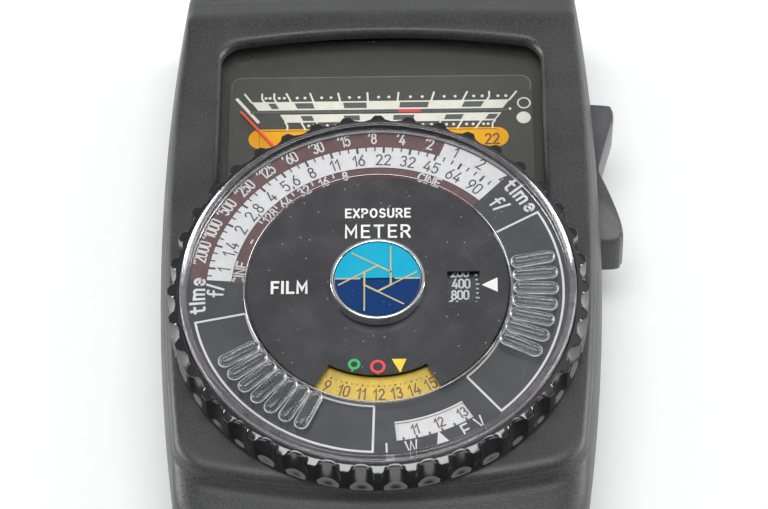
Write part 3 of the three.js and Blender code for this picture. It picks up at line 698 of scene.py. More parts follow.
FRONT_OUTSIDE = [
    (SEAM_Z, 0, -42, 69, 7, 0.8),
    (21.5, 0.4, -38.5, 65.4, 6, 0.8),
    (23.7, 0.9, -33.6, 61.55, 4.9, 0.6),
    (24.4, 1.15, -31.9, 60.25, 4.5, 0.6),
    (25.2, 1.25, -31.1, 58.75, 4.4, 0.6),
]
EDGE_FROM, EDGE_STEPS = 25.5, 9  # where the face's rounded edge starts
FACE_FAR, FAR_FALL = 52.8, 5.4  # where the face starts to fall at its far end, and over what length
CROWN_EDGE = []
for i in range(EDGE_STEPS + 1):
    turn = math.pi / 2 * i / EDGE_STEPS
    rise, way_in = math.sin(turn), 1 - math.cos(turn)
    level = between(EDGE_FROM, FACE_Z, rise)
    low, corner = -31.0 + 1.9 * way_in, between(4.3, 3.6, way_in)
    high = FACE_FAR + FAR_FALL * math.sqrt(1 - rise)
    CROWN_EDGE.append((level, 1.3 + 1.6 * way_in, low, high, corner, 0.6))
CROWN_EDGE.append((FACE_Z, 3.2, -28.8, 52.4, 3.5, 0.6))
FRONT_INSIDE = [
    (SEAM_Z - 0.5, WALL, -40.2, 67.2, 5.5, 0.8),
    (21.5, 2.5, -36.3, 62.2, 5, 0.8),
    (23.6, 4.1, -30.2, 55.2, 3.5, 0.6),
    (FACE_Z - WALL, 4.8, -29.2, 54.2, 3, 0.6),
]


def window_outline(grow):
    """The window's outline, spread outwards by grow: square below and arched above."""
    half = WINDOW_HALF + grow
    low, high = WINDOW_LOW, WINDOW_HIGH + grow

    def arch(x):
        return high - WINDOW_SAG * (x / half) ** 2

    steps = 20
    inner = half - WINDOW_CORNER
    points = [(-half, low), (half, low)]
    shoulder = arch(half) - WINDOW_CORNER
    points += [(half, between(low, shoulder, i / 8)) for i in range(1, 8)]
    points += bend((half, shoulder), (half, arch(half)), (inner, arch(inner)))
    points += [(x, arch(x)) for x in (between(inner, -inner, i / steps) for i in range(steps))]
    points += bend((-inner, arch(inner)), (-half, arch(half)), (-half, shoulder))
    points += [(-half, between(shoulder, low, i / 8)) for i in range(8)]
    return [(x + WINDOW_X, y) for x, y in points]


def window_cutter():
    """Straight below, and flared in an arc where it meets the face."""
    radius = WINDOW_FLARE
    flare = [(i / 6) * math.pi / 2 for i in range(7)]
    rows = [(FACE_Z - 3, 0.0)]
    rows += [(FACE_Z - radius + radius * math.sin(a), radius * (1 - math.cos(a))) for a in flare]
    rows.append((FACE_Z + 1, radius + 0.001))
    return body_of_mesh("cutter", skin([[(x, y, z) for x, y in window_outline(g)] for z, g in rows]))


front = case_solid("front_shell", FRONT_OUTSIDE, 5, CROWN_EDGE)
cut(front, [case_solid("hollow", FRONT_INSIDE, 3), window_cutter()])
place(front, FINISH["shell"], "case", "shell", ["front_cover"], 40)

# %% [markdown]
# ## Back cover
# The lower shell is a shallow tub with a softly rounded back edge. What is let into it, the battery
# door, the name plate's recess, the screws and the slot of the sensor, are plain cuts. Its
# cutters are read from the boxes of the nodes that sit in them, with a little room all round.


# %% Back cover
BACK_OUTSIDE = [
    (0, 4.6, -37.4, 66.4, 5, 0.4),
    (0.25, 4.0, -38.0, 67.1, 5.2, 0.45),
    (0.7, 3.5, -38.5, 67.6, 5.4, 0.5),
    (2.4, 2.1, -39.9, 68.6, 6, 0.6),
    (9, 0.5, -41.5, 68.9, 6.8, 0.8),
    (SEAM_Z - GAP, 0, -42, 69, 7, 0.8),
]
BACK_INSIDE = [
    (1.6, 5.2, -36.6, 65.4, 4, 0.4),
    (4, 3.6, -38.3, 66.8, 4.6, 0.6),
    (9, 2.3, -39.7, 67.1, 5.2, 0.8),
    (SEAM_Z + 0.5, WALL, -40.2, 67.2, 5.5, 0.8),
]


def block(x, y, z):
    """A plain block used only to cut with."""
    loops = [[(x[0], y[0], h), (x[1], y[0], h), (x[1], y[1], h), (x[0], y[1], h)] for h in z]
    return body_of_mesh("cutter", skin(loops))


def bore(radius, z, centre):
    """A round pin used only to cut with."""
    return body_of_mesh("cutter", skin([circle(radius, h, 48, centre) for h in z]))


def centre_of(node):
    """The middle of a node, seen from above."""
    low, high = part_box(node)
    return (low.x + high.x) / 2 / MM, (low.y + high.y) / 2 / MM


def span(node, axis, room=GAP):
    """A node's two ends along an axis, with some room past both."""
    low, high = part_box(node)
    return low[axis] / MM - room, high[axis] / MM + room


def back_cutters():
    """What is cut out of the back: door, plate, sensor slot, rocker slot, eyelet and bores."""
    below, past_seam = -1, SEAM_Z + 1  # a cutter starts and ends in free air
    door_x, door_y = span("battery_door", 0), span("battery_door", 1)
    tools = [block((door_x[0] + 1, door_x[1] - 1), (-50, door_y[1]), (below, 2.2))]
    tools.append(block(span("back_plate", 0), span("back_plate", 1), (below, 0.9)))
    tools.append(block(span("slide_track", 0), (60, 75), (2.3, past_seam)))
    rocker_y = (span("rocker", 1, 2.4)[0], span("rocker", 1, 1.3)[1])
    tools.append(block((29.5, 40), rocker_y, (foot_of("rocker") - GAP, past_seam)))
    tools.append(block((-40, -28), span("strap_lug", 1), span("strap_lug", 2)))
    tools.append(bore(2.5, (below, 3), centre_of("zero_adjust_screw")))
    tools.append(bore(2.8, (below, 3), centre_of("battery_test_button")))
    tools += [bore(2.6, (below, 2.6), centre_of(f"case_screw_{i}")) for i in (1, 2, 3, 4)]
    return tools


back = case_solid("back_shell", BACK_OUTSIDE)
cut(back, [case_solid("hollow", BACK_INSIDE, 3)])
cut(back, back_cutters())
place(back, FINISH["shell"], "case", "shell", ["back_cover"], 40)

# %% [markdown]
# ## Battery door
# The door is a piece of the back that slides off towards the near end. It is cut from the same
# solid as the back cover, so its outer face runs on without a step, and a row of grooves gives the
# thumb a hold.


# %% Battery door
def door_grooves():
    """Five short grooves across the door."""
    middle = centre_of("battery_door")[0]
    rows = [-19 - 1.5 * i for i in range(5)]
    return [block((middle - 8, middle + 8), (y, y + 0.7), (-1, 0.35)) for y in rows]


door = case_solid("door_panel", BACK_OUTSIDE)
door_x, door_y = span("battery_door", 0, -1), span("battery_door", 1, 0)
cut(door, [block(door_x, (-50, door_y[1]), (-1, top_of("battery_door")))], "INTERSECT")
cut(door, door_grooves())
place(door, FINISH["shell"], "battery_door", "shell", ["battery_door"], 40)

# %% [markdown]
# ## Knurled ring
# Forty scoops are cut into the ring's wall. A scoop starts above a plain foot, runs in with a curve,
# and then leans in further up to the top, so its floor and the ledge below it catch the light. The
# wall's radius is worked out point by point: a scoop's depth across the wall, times how far the
# cutter has gone in at that height.


# %% Knurled ring
FLUTES = 40
FLUTE_DEPTH = 0.95
LEDGE, RUN_IN = 0.7, 0.8  # height of the plain foot, and of the curve above it
CROWN = 1.05  # how far in the ring's top starts to fall away
PER_FLUTE = 20  # points across a scoop and its land
HUB_R = 4.4  # the bore of everything that turns on the hub


def scoop(turn_share):
    """Depth of a scoop across its width, 0 on the land and 1 in the middle."""
    across = abs(turn_share - 0.5) / 0.4
    return max(0.0, 1 - across**2.4)


def sunk(z):
    """How far the cutter has gone in at a height: a rounded foot, then a wall that leans in."""
    climb = min(1.0, max(0.0, (z - DIAL_FOOT - LEDGE) / RUN_IN))
    lean = 0.38 + 0.92 * (z - DIAL_FOOT) / (DIAL_TOP - DIAL_FOOT)
    return lean * math.sqrt(1 - (1 - climb) ** 2)


def knurled_loop(z, inset, depth):
    points = []
    for i in range(FLUTES * PER_FLUTE):
        angle = 2 * math.pi * i / (FLUTES * PER_FLUTE)
        radius = DIAL_R - max(inset, depth * scoop((i % PER_FLUTE) / PER_FLUTE))
        points.append((radius * math.cos(angle), radius * math.sin(angle), z))
    return points


def ring_shape():
    """The ring with its thin floor, which runs in to the hub."""
    count = FLUTES * PER_FLUTE
    floor = SCALE_TOP - 1.6
    inner = CLEAR_R + 0.2
    boss = 9.0
    loops = [circle(HUB_R, DIAL_FOOT + 0.7, count), circle(boss, DIAL_FOOT + 0.7, count)]
    loops.append(circle(boss, DIAL_FOOT, count))
    loops.append(knurled_loop(DIAL_FOOT, 0.35, 0))
    loops.append(knurled_loop(DIAL_FOOT + 0.2, 0.08, 0))
    steps = 14
    wall = [between(DIAL_FOOT + 0.4, DIAL_TOP - 0.4, i / steps) for i in range(steps + 1)]
    loops += [knurled_loop(z, 0, FLUTE_DEPTH * sunk(z)) for z in wall]
    deep = FLUTE_DEPTH * sunk(DIAL_TOP)
    loops.append(knurled_loop(DIAL_TOP - 0.32, 0.05, deep))
    loops.append(knurled_loop(DIAL_TOP - 0.28, 0.13, deep))
    loops.append(knurled_loop(DIAL_TOP - 0.03, CROWN, deep + 0.04))
    loops.append(knurled_loop(DIAL_TOP, CROWN + 0.2, deep + 0.12))
    loops += [circle(inner, DIAL_TOP, count), circle(inner, floor, count), circle(HUB_R, floor, count)]
    return skin(loops, ring=True)


ring = body_of_mesh("knurled_ring", ring_shape())
place(ring, FINISH["black_gloss"], "setting_dial", "black_gloss", ["setting_ring"], 28)

# %% [markdown]
# ## Discs of the dial
# Three discs lie on each other. The lowest is printed and turns with the ring. Over it turns a
# clear disc, painted black from below except for its windows, with a thick bead round its rim and
# two groups of finger ribs. The lacquered disc in the middle stands still.


# %% Scale disc and centre disc
def slab(inner, outer, foot, top, edge=0.08):
    """A flat ring with a tiny chamfer on its outer edges."""
    profile = [(inner, foot), (outer - edge, foot), (outer, foot + edge)]
    profile += [(outer, top - edge), (outer - edge, top), (inner, top)]
    return turned(profile)


scale_slab = slab(HUB_R, radius_of("scale_disc"), foot_of("scale_disc"), SCALE_TOP)
scales = body_of_mesh("scale_disc_fine", scale_slab)
place(scales, FINISH["dial_print"], "setting_dial", "dial_print", ["scale_disc"])


def arc(radius, start, end, steps):
    """Points on an arc round the dial's axis, in degrees."""
    angles = [math.radians(between(start, end, i / steps)) for i in range(steps + 1)]
    return [(radius * math.cos(a), radius * math.sin(a)) for a in angles]


def bow(x, y, wide, high, start, end, steps=10):
    """An arc of an ellipse as points."""
    angles = [math.radians(between(start, end, i / steps)) for i in range(steps + 1)]
    return [(x + wide * math.cos(a), y + high * math.sin(a)) for a in angles]


def swung(x, y, degrees):
    """A place turned about the origin."""
    c, s = math.cos(math.radians(degrees)), math.sin(math.radians(degrees))
    return x * c - y * s, x * s + y * c


def sector_cutter(inner, outer, start, end, z):
    """A piece of a ring used only to cut with."""
    outline = arc(inner, start, end, 24) + arc(outer, end, start, 24)
    return body_of_mesh("cutter", skin([[(x, y, h) for x, y in outline] for h in z]))


READOUT_R, READOUT_HALF = 15.5, 28.0  # the yellow window at the dial's foot
FILM_X, FILM_Y = (10.5, 15.4), (-3.0, 2.5)  # the window of the film speeds
THROUGH = (32, 35)  # from below the centre disc to above it
disc = body_of_mesh("centre_disc_fine", slab(1.3, CENTRE_R, CENTRE_FOOT, CENTRE_TOP, 0.15))
readout = sector_cutter(READOUT_R, CENTRE_R + 1, -90 - READOUT_HALF, -90 + READOUT_HALF, THROUGH)
cut(disc, [readout, block(FILM_X, FILM_Y, THROUGH)])
place(disc, FINISH["disc_lacquer"], "case", "disc_lacquer", ["centre_disc"])

# %% Clear disc, its bead and its finger ribs
BEAD_R = 28.9  # where the flat of the clear disc ends and its bead starts
STEP_R = 20.2  # where the clear disc steps down round the centre disc
clear_top = CENTRE_TOP + 0.05


def clear_plate():
    """The flat disc, which steps down round the centre disc."""
    inner_top = CLEAR_FOOT + 0.4
    profile = [(HUB_R, CLEAR_FOOT), (BEAD_R, CLEAR_FOOT), (BEAD_R, clear_top)]
    profile += [(STEP_R + 0.1, clear_top), (STEP_R, clear_top - 0.1)]
    profile += [(STEP_R, inner_top), (HUB_R, inner_top)]
    return turned(profile)


def bead():
    """The rim's bead: a half ellipse on an upright wall."""
    inner = BEAD_R + 0.03
    shoulder = clear_top - 0.15
    rise = top_of("aperture_disc") - 0.35 - shoulder
    profile = [(inner, CLEAR_FOOT), (CLEAR_R - 0.5, CLEAR_FOOT), (CLEAR_R - 0.1, CLEAR_FOOT + 0.4)]
    middle, half = (CLEAR_R + BEAD_R) / 2, (CLEAR_R - BEAD_R) / 2
    profile += [(max(r, inner), z) for r, z in bow(middle, shoulder, half, rise, 0, 180, 8)]
    return turned(profile)


RIB_ANGLES = [10.6 - 6.18 * i for i in range(7)] + [209.8 + 5.8 * i for i in range(7)]
RIB_ENDS = (21.55, 26.25)  # distances of a rib's round ends from the axis
RIB_HALF, RIB_HIGH = 0.95, 0.84


def capsule(half):
    """The outline of a rib that points along X."""
    near, far = RIB_ENDS
    return bow(far, 0, half, half, -90, 90, 8) + bow(near, 0, half, half, 90, 270, 8)


def rib(degrees):
    """A capsule that stands out of the clear disc, with a rounded crest."""
    loops = []
    for i in range(6):
        climb = math.pi / 2 * i / 6
        z = clear_top + 0.02 + RIB_HIGH * math.sin(climb)
        outline = capsule(RIB_HALF * math.cos(climb) ** 0.6)
        loops.append([(*swung(x, y, degrees), z) for x, y in outline])
    return skin(loops)


plate = body_of_mesh("clear_disc_plate", clear_plate())
place(plate, FINISH["clear_disc"], "aperture_dial", "clear_disc", ["aperture_disc"])
rim = body_of_mesh("clear_disc_bead", bead())
place(rim, CLEAR_BEAD, "aperture_dial", "clear_disc", ["aperture_disc"])
lining_slab = slab(BEAD_R + 0.05, CLEAR_R - 0.05, CLEAR_FOOT - 0.07, CLEAR_FOOT - 0.02, 0.01)
lining = body_of_mesh("clear_bead_lining", lining_slab)
place(lining, LINING_AND_PAINTED_HIGHLIGHT_INK, "aperture_dial", "clear_disc", ["aperture_disc"])


def hoop(radius, z, thick):
    """A round wire in a circle."""
    ways = [math.radians(45 * i) for i in range(8)]
    return turned([(radius + thick * math.cos(a), z + thick * math.sin(a)) for a in ways])


# painted highlight: a thin bright metal hoop on the clear disc's step stands in for the glint along the
# step's edge
step = body_of_mesh("clear_disc_step_painted_glint", hoop(STEP_R + 0.05, clear_top, 0.13))
place(step, STEP_PAINTED_GLINT, "aperture_dial", "clear_disc", ["aperture_disc"], 60)
ribs = body_of_mesh("clear_disc_ribs", joined([rib(a) for a in RIB_ANGLES]))
place(ribs, CLEAR_BEAD, "aperture_dial", "clear_disc", ["aperture_disc"], 60)

# %% [markdown]
# ## Badge
# A bright turned rim holds an enamel badge over the dial's screw. Its picture is a plain camera
# iris: a hexagonal opening, and six blade edges that run on from its sides to the rim. The two
# enamels are separate plates, so that their joint is a real line.


# %% Rim and enamels
ENAMEL_R = CAP_R - 0.75


def badge_rim():
    foot = foot_of("emblem_rim")
    profile = [(3.2, foot), (CAP_R - 0.1, foot), (CAP_R, foot + 0.1), (CAP_R, CAP_TOP - 0.35)]
    profile += [(CAP_R - 0.06, CAP_TOP - 0.12), (CAP_R - 0.2, CAP_TOP - 0.02), (CAP_R - 0.34, CAP_TOP)]
    profile += [(CAP_R - 0.5, CAP_TOP - 0.04), (CAP_R - 0.6, CAP_TOP - 0.18), (CAP_R - 0.66, CAP_TOP - 0.5)]
    return turned(profile + [(3.2, CAP_TOP - 0.7)], 96)


def enamel_half(start, end):
    levels = foot_of("emblem_disc"), top_of("emblem_disc")
    return skin([[(x, y, h) for x, y in arc(ENAMEL_R, start, end, 40)] for h in levels])


badge = body_of_mesh("badge_rim", badge_rim())
place(badge, FINISH["bright_chrome"], "case", "bright_chrome", ["emblem_rim"])
sky = body_of_mesh("badge_sky", enamel_half(1.2, 178.8))
place(sky, SKY_ENAMEL, "case", "enamel", ["emblem_disc"])
night = body_of_mesh("badge_night", enamel_half(181.2, 358.8))
place(night, NIGHT_ENAMEL, "case", "enamel", ["emblem_disc"])

# %% [markdown]
# ## A pen for the scales
# The numerals on instruments are drawn with a stencil and a pen of one width, so they are strokes,
# not filled letters. The same is done here: each figure is a few lines and arcs, a pen runs along
# them, and the stroke becomes a thin closed plate of ink. Bending the strokes round the dial needs
# no more than reading their place as an angle and a radius.


# %% Strokes of the figures
def figures():
    """Each figure's advance and strokes, for a height of 1."""
    loop = bow(0.26, 0.74, 0.26, 0.26, 0, 180) + bow(0.26, 0.26, 0.26, 0.26, 180, 360)
    head = [(0, 0), (0, 1), (0.26, 1)] + bow(0.26, 0.74, 0.24, 0.26, 90, -90) + [(0, 0.48)]
    arch = [(0, 0.44)] + bow(0.17, 0.48, 0.17, 0.2, 180, 0) + [(0.34, 0)]
    stem = [(0.12, 0.95), (0.12, 0.18)]
    return {
        "0": (0.52, [loop + loop[:1]]),
        "1": (0.24, [[(0, 0.72), (0.24, 1), (0.24, 0)]]),
        "2": (0.52, [bow(0.26, 0.74, 0.25, 0.26, 165, -38) + [(0, 0), (0.54, 0)]]),
        "3": (0.5, [bow(0.24, 0.76, 0.22, 0.24, 150, -80), bow(0.24, 0.27, 0.26, 0.27, 80, -150)]),
        "4": (0.56, [[(0.34, 1), (0, 0.24), (0.58, 0.24)], [(0.43, 0.5), (0.43, 0)]]),
        "5": (0.52, [[(0.5, 1), (0.08, 1), (0.04, 0.54)] + bow(0.25, 0.33, 0.27, 0.33, 135, -145)]),
        "6": (0.52, [bow(0.26, 0.3, 0.26, 0.3, 0, 360, 16), [(0.4, 1), (0.16, 0.66), (0.02, 0.4)]]),
        "7": (0.5, [[(0, 1), (0.52, 1), (0.16, 0)]]),
        "8": (0.52, [bow(0.26, 0.76, 0.21, 0.24, 0, 360, 16), bow(0.26, 0.27, 0.26, 0.27, 0, 360, 16)]),
        "9": (0.52, [bow(0.26, 0.7, 0.26, 0.3, 0, 360, 16), [(0.12, 0), (0.36, 0.34), (0.5, 0.6)]]),
        ",": (0.1, [[(0.08, 0.08), (0.02, -0.14)]]),
        "'": (0.14, [[(0.14, 1.04), (0.02, 0.78)]]),
        "-": (0.3, [[(0, 0.5), (0.3, 0.5)]]),
        "/": (0.3, [[(0, -0.06), (0.34, 1.06)]]),
        "t": (0.34, [stem + bow(0.27, 0.16, 0.15, 0.16, 180, 290), [(0, 0.68), (0.34, 0.68)]]),
        "i": (0.02, [[(0.02, 0), (0.02, 0.68)], [(0.02, 0.86), (0.02, 0.96)]]),
        "m": (0.7, [[(0, 0), (0, 0.7)], arch, [(x + 0.34, y) for x, y in arch]]),
        "e": (0.46, [[(0.02, 0.36), (0.46, 0.36)] + bow(0.24, 0.34, 0.22, 0.34, 4, 310)]),
        "f": (0.36, [bow(0.32, 0.82, 0.16, 0.2, 50, 180) + [(0.1, 0)], [(0, 0.6), (0.36, 0.6)]]),
        "C": (0.52, [bow(0.3, 0.5, 0.3, 0.5, 48, 312, 14)]),
        "E": (0.44, [[(0.46, 1), (0, 1), (0, 0), (0.46, 0)], [(0, 0.52), (0.4, 0.52)]]),
        "F": (0.42, [[(0.44, 1), (0, 1), (0, 0)], [(0, 0.5), (0.38, 0.5)]]),
        "I": (0.02, [[(0.01, 0), (0.01, 1)]]),
        "L": (0.42, [[(0, 1), (0, 0), (0.44, 0)]]),
        "M": (0.66, [[(0, 0), (0, 1), (0.33, 0.3), (0.66, 1), (0.66, 0)]]),
        "N": (0.52, [[(0, 0), (0, 1), (0.52, 0), (0.52, 1)]]),
        "O": (0.6, [bow(0.3, 0.5, 0.3, 0.5, 0, 360, 18)]),
        "P": (0.5, [head]),
        "R": (0.52, [head, [(0.26, 0.48), (0.52, 0)]]),
        "S": (0.48, [bow(0.24, 0.75, 0.22, 0.25, 35, 270) + bow(0.24, 0.25, 0.25, 0.25, 90, -145)]),
        "T": (0.54, [[(0, 1), (0.54, 1)], [(0.27, 1), (0.27, 0)]]),
        "U": (0.52, [[(0, 1), (0, 0.27)] + bow(0.26, 0.27, 0.26, 0.27, 180, 360) + [(0.52, 1)]]),
        "V": (0.54, [[(0, 1), (0.27, 0), (0.54, 1)]]),
        "W": (0.8, [[(0, 1), (0.2, 0), (0.4, 1), (0.6, 0), (0.8, 1)]]),
        "X": (0.52, [[(0, 1), (0.52, 0)], [(0.52, 1), (0, 0)]]),
    }


FIGURES = figures()
LETTER_GAP = 0.24


# %% Places for the strokes
def on_arc(radius, degrees, inward=False):
    """Bends a line of writing round the dial: its feet stand at radius, its middle at degrees."""
    middle = math.radians(degrees)

    def bent(x, y):
        reach = radius - y if inward else radius + y
        angle = middle + x / radius if inward else middle - x / radius
        return reach * math.cos(angle), reach * math.sin(angle)

    return bent


def flat_at(x0, y0, degrees=0.0):
    """Keeps a line of writing straight, turned in degrees, with its middle foot at x0, y0."""
    c, s = math.cos(math.radians(degrees)), math.sin(math.radians(degrees))

    def moved(x, y):
        return x0 + x * c - y * s, y0 + x * s + y * c

    return moved


def straight(x, y):
    return x, y


# %% The pen
class Ink:
    """Thin closed plates of one colour of ink, lying at one height."""

    def __init__(self, foot, thick=0.03):
        self.levels = (foot, foot + thick)
        self.strips = 0
        self.points = []
        self.faces = []

    def strip(self, left, right, loop=False):
        """A plate between two rows of equally many points."""
        first = len(self.points)
        low, high = self.levels
        high += 0.003 * (self.strips % 6)  # strokes that cross don't share a surface
        self.strips += 1
        for a, b in zip(left, right):
            self.points += [(*a, high), (*b, high), (*b, low), (*a, low)]
        count = len(left)
        for i in range(count if loop else count - 1):
            here, there = first + 4 * i, first + 4 * ((i + 1) % count)
            for k in range(4):
                m = (k + 1) % 4
                self.faces.append((here + k, here + m, there + m, there + k))
        if not loop:
            last = first + 4 * (count - 1)
            self.faces.append((first + 3, first + 2, first + 1, first))
            self.faces.append((last, last + 1, last + 2, last + 3))

    def stroke(self, path, width, spot=straight):
        """A pen line of even width along a path, whose ends stand out by half its width."""
        loop = math.dist(path[0], path[-1]) < 1e-6
        path = path[:-1] if loop else list(path)
        if not loop:
            for end, inner in ((0, 1), (-1, -2)):
                further = 1 + width / 2 / math.dist(path[end], path[inner])
                path[end] = tuple(between(q, p, further) for p, q in zip(path[end], path[inner]))
        left, right = [], []
        for i, (x, y) in enumerate(path):
            before = path[i - 1] if loop or i else path[i]
            after = path[(i + 1) % len(path)] if loop or i < len(path) - 1 else path[i]
            ways = []
            for (x0, y0), (x1, y1) in ((before, (x, y)), ((x, y), after)):
                reach = math.hypot(x1 - x0, y1 - y0)
                if reach > 1e-9:
                    ways.append(((x1 - x0) / reach, (y1 - y0) / reach))
            dx, dy = sum(w[0] for w in ways), sum(w[1] for w in ways)
            size = math.hypot(dx, dy)
            turn = max(0.45, size / len(ways))
            nx, ny = -dy / size / turn * width / 2, dx / size / turn * width / 2
            left.append(spot(x + nx, y + ny))
            right.append(spot(x - nx, y - ny))
        self.strip(left, right, loop)

    def write(self, text, height, width, spot, narrow=0.9, gap=LETTER_GAP):
        """Figures or letters in one line, centred on the spot."""
        total = sum(FIGURES[c][0] + gap for c in text) - gap
        x = -total / 2
        for letter in text:
            advance, strokes = FIGURES[letter]
            for path in strokes:
                drawn = [((x + u) * height * narrow, v * height) for u, v in path]
                self.stroke(drawn, width, spot)
            x += advance + gap

    def band(self, inner, outer, start, end):
        """A stretch of a ring round the dial's axis, in degrees."""
        steps = max(2, int(abs(end - start) / 2.5))
        whole = abs(end - start) >= 360
        left, right = arc(outer, start, end, steps), arc(inner, start, end, steps)
        self.strip(left[:-1] if whole else left, right[:-1] if whole else right, whole)

    def tick(self, inner, outer, degrees, width):
        self.stroke([(inner, 0), (outer, 0)], width, flat_at(0, 0, degrees))

    def dot(self, x, y, radius):
        angles = [math.radians(a) for a in (8, 40, 70, 90, 110, 140, 172)]
        left = [(x + radius * math.cos(a), y + radius * math.sin(a)) for a in angles]
        self.strip(left, [(px, 2 * y - py) for px, py in left])

    def piece(self, name, finish, body, slot):
        """All of it as one piece."""
        made = body_of_mesh(name, (self.points, self.faces))
        return place(made, finish, body, slot)


print("figures drawn:", len(FIGURES))

# %% [markdown]
# ## Scales that turn with the ring
# Exposure times run in a maroon band that turns white at one second, and each stop is the same
# angle from the next. Inside them run the cine speeds, and two more rings show through windows at
# the foot of the dial: exposure values through the clear disc, and the meter's reading through the
# centre disc. All of them lie on the lowest disc.

# %% Printed ground of the scale disc
STOP = 9.2  # degrees of the dial for one stop
INK_GAP = 0.01
LAYER = 0.035  # from one layer of ink to the next
TURNOVER = 68.8  # where the time band changes colour
BANDS_END = 214
TIME_IN, TIME_OUT = 26.0, 29.4
CINE_IN, CINE_OUT = 19.6, 22.6
VALUE_IN, VALUE_OUT = 23.2, 26.8
READING_IN, READING_OUT = 15.3, 19.7
ground = SCALE_TOP + INK_GAP

maroon = Ink(ground)
maroon.band(TIME_IN, TIME_OUT, TURNOVER, BANDS_END)
maroon.band(CINE_IN, CINE_OUT, 20, BANDS_END)
maroon.piece("time_band_maroon", MAROON_INK, "setting_dial", "dial_print")

pale = Ink(ground)
pale.band(TIME_IN, TIME_OUT, -20, TURNOVER)
pale.band(VALUE_IN, VALUE_OUT, -150, -21)
pale.piece("time_band_white", WHITE_INK, "setting_dial", "dial_print")

amber = Ink(ground)
amber.band(READING_IN, READING_OUT, -150, -30)
amber.piece("readout_band", YELLOW_INK, "setting_dial", "dial_print")

# %% Figures of the scale disc
above = ground + LAYER
times = ["'2000", "'1000", "'500", "'250", "'125", "'60", "'30", "'15", "'8", "'4", "'2"]
seconds = ["1", "2", "4", "8", "15", "30"]
FIRST_TIME, TIME_FEET = 165.4, 26.95  # angle of the shortest time, and where the figures stand
CINE_FEET = 20.75
VALUE_11, VALUE_STEP = -77.3, 8.7  # angle of exposure value 11, and of one value more
READING_12, READING_STEP = -89.5, 8.3  # the same for the meter's reading

white = Ink(above)
for i, text in enumerate(times):
    white.write(text, 1.85, 0.25, on_arc(TIME_FEET, FIRST_TIME - STOP * i), 0.7, 0.2)
for i, text in enumerate(["128", "64", "32", "16", "8"]):
    white.write(text, 1.45, 0.24, on_arc(CINE_FEET, 140.5 - STOP * i), 0.9)
    white.tick(21.7, 22.2, 145.2 - STOP * i, 0.24)
white.write("CINE", 1.5, 0.26, on_arc(CINE_FEET, 68.5), 1.0)
white.write("CINE", 1.6, 0.26, on_arc(20.5, 171.0), 1.0)
white.write("-", 1.6, 0.28, on_arc(20.5, 155), 1.0)
white.piece("time_figures", WHITE_INK, "setting_dial", "dial_print")

brown = Ink(above)
for i, text in enumerate(seconds, len(times)):
    brown.write(text, 1.85, 0.24, on_arc(TIME_FEET, FIRST_TIME - STOP * i), 0.8)
for number in range(5, 19):
    spot = on_arc(25.6, VALUE_11 + VALUE_STEP * (number - 11), inward=True)
    brown.write(str(number), 1.5, 0.22, spot, 0.9)
for half in range(-8, 12):
    brown.tick(26.0, 26.5, VALUE_11 + VALUE_STEP / 2 * half, 0.3)
for number in range(1, 23):
    spot = on_arc(19.15, READING_12 + READING_STEP * (number - 12), inward=True)
    brown.write(str(number), 1.75, 0.22, spot, 0.88, 0.3)
for third in range(-18, 18):
    size = 0.1 if third % 3 else 0.16
    brown.dot(*swung(16.85, 0, READING_12 + READING_STEP / 3 * third), size)
brown.piece("readout_figures", BROWN_INK, "setting_dial", "dial_print")

# %% [markdown]
# ## Print on the clear disc
# The clear disc is painted from below: first white lines and words, then black over everything but
# the windows. So the paint lies just under the plastic, and the lines a hair above the black. The
# white band with the lens openings belongs to this disc too, and hides the edge of the bands below.
# So do the film speeds, which show through the small window of the centre disc.

# %% Black paint with its windows
paint = CLEAR_FOOT - 0.09
OPEN_FROM, OPEN_TO = 45.8, 175.5  # the large window
EV_FROM, EV_TO = -84.0, -57.6  # the window of the exposure values
EV_IN, EV_OUT = 23.5, 26.4
PAINT_IN = STEP_R - 0.1

black = Ink(paint)
black.band(PAINT_IN, BEAD_R, OPEN_TO, 360 + EV_FROM)
black.band(PAINT_IN, BEAD_R, EV_TO, OPEN_FROM)
black.band(PAINT_IN, EV_IN, EV_FROM, EV_TO)
black.band(EV_OUT, BEAD_R, EV_FROM, EV_TO)
black.band(28.75, BEAD_R, OPEN_FROM, OPEN_TO)
black.piece("disc_paint", MASK_LACQUER, "aperture_dial", "clear_disc")

band = Ink(paint)
BAND_IN, BAND_OUT = 22.35, 26.1
band.band(BAND_IN, BAND_OUT, OPEN_FROM, OPEN_TO)
band.piece("opening_band", WHITE_INK, "aperture_dial", "clear_disc")

# %% Lens openings, lines and words
over = paint + LAYER
openings = ["1", "1,4", "2", "2,8", "4", "5,6", "8", "11", "16", "22", "32", "45", "64", "90"]
FIRST_OPENING, OPENING_STEP = 170.7, 9.19

fine = Ink(over)
for i, text in enumerate(openings):
    fine.write(text, 1.85, 0.2, on_arc(BAND_IN + 0.5, FIRST_OPENING - OPENING_STEP * i), 0.86, 0.26)
for third in range(-1, 41):
    length, heavy = (0.6, 0.2) if third % 3 else (0.85, 0.34)
    angle = FIRST_OPENING - OPENING_STEP / 3 * third
    if angle < OPEN_TO - 0.8:
        fine.tick(BAND_OUT - length, BAND_OUT, angle, heavy)
fine.piece("opening_figures", DARK_INK, "aperture_dial", "clear_disc")

lines = Ink(over)
LINE = 0.34
BOX_OUT = 28.1
FILM_R = 12.6  # distance of the film speeds from the axis
FILM_TICK = 3.05  # degrees from one tick beside them to the next


def finger_box(start, end):
    """The white outline round a group of finger ribs."""
    lines.band(STEP_R, STEP_R + LINE, start, end)
    lines.band(BOX_OUT - LINE / 2, BOX_OUT + LINE / 2, start, end)
    for degrees in (start, end):
        lines.tick(STEP_R + LINE, BOX_OUT, degrees, LINE)


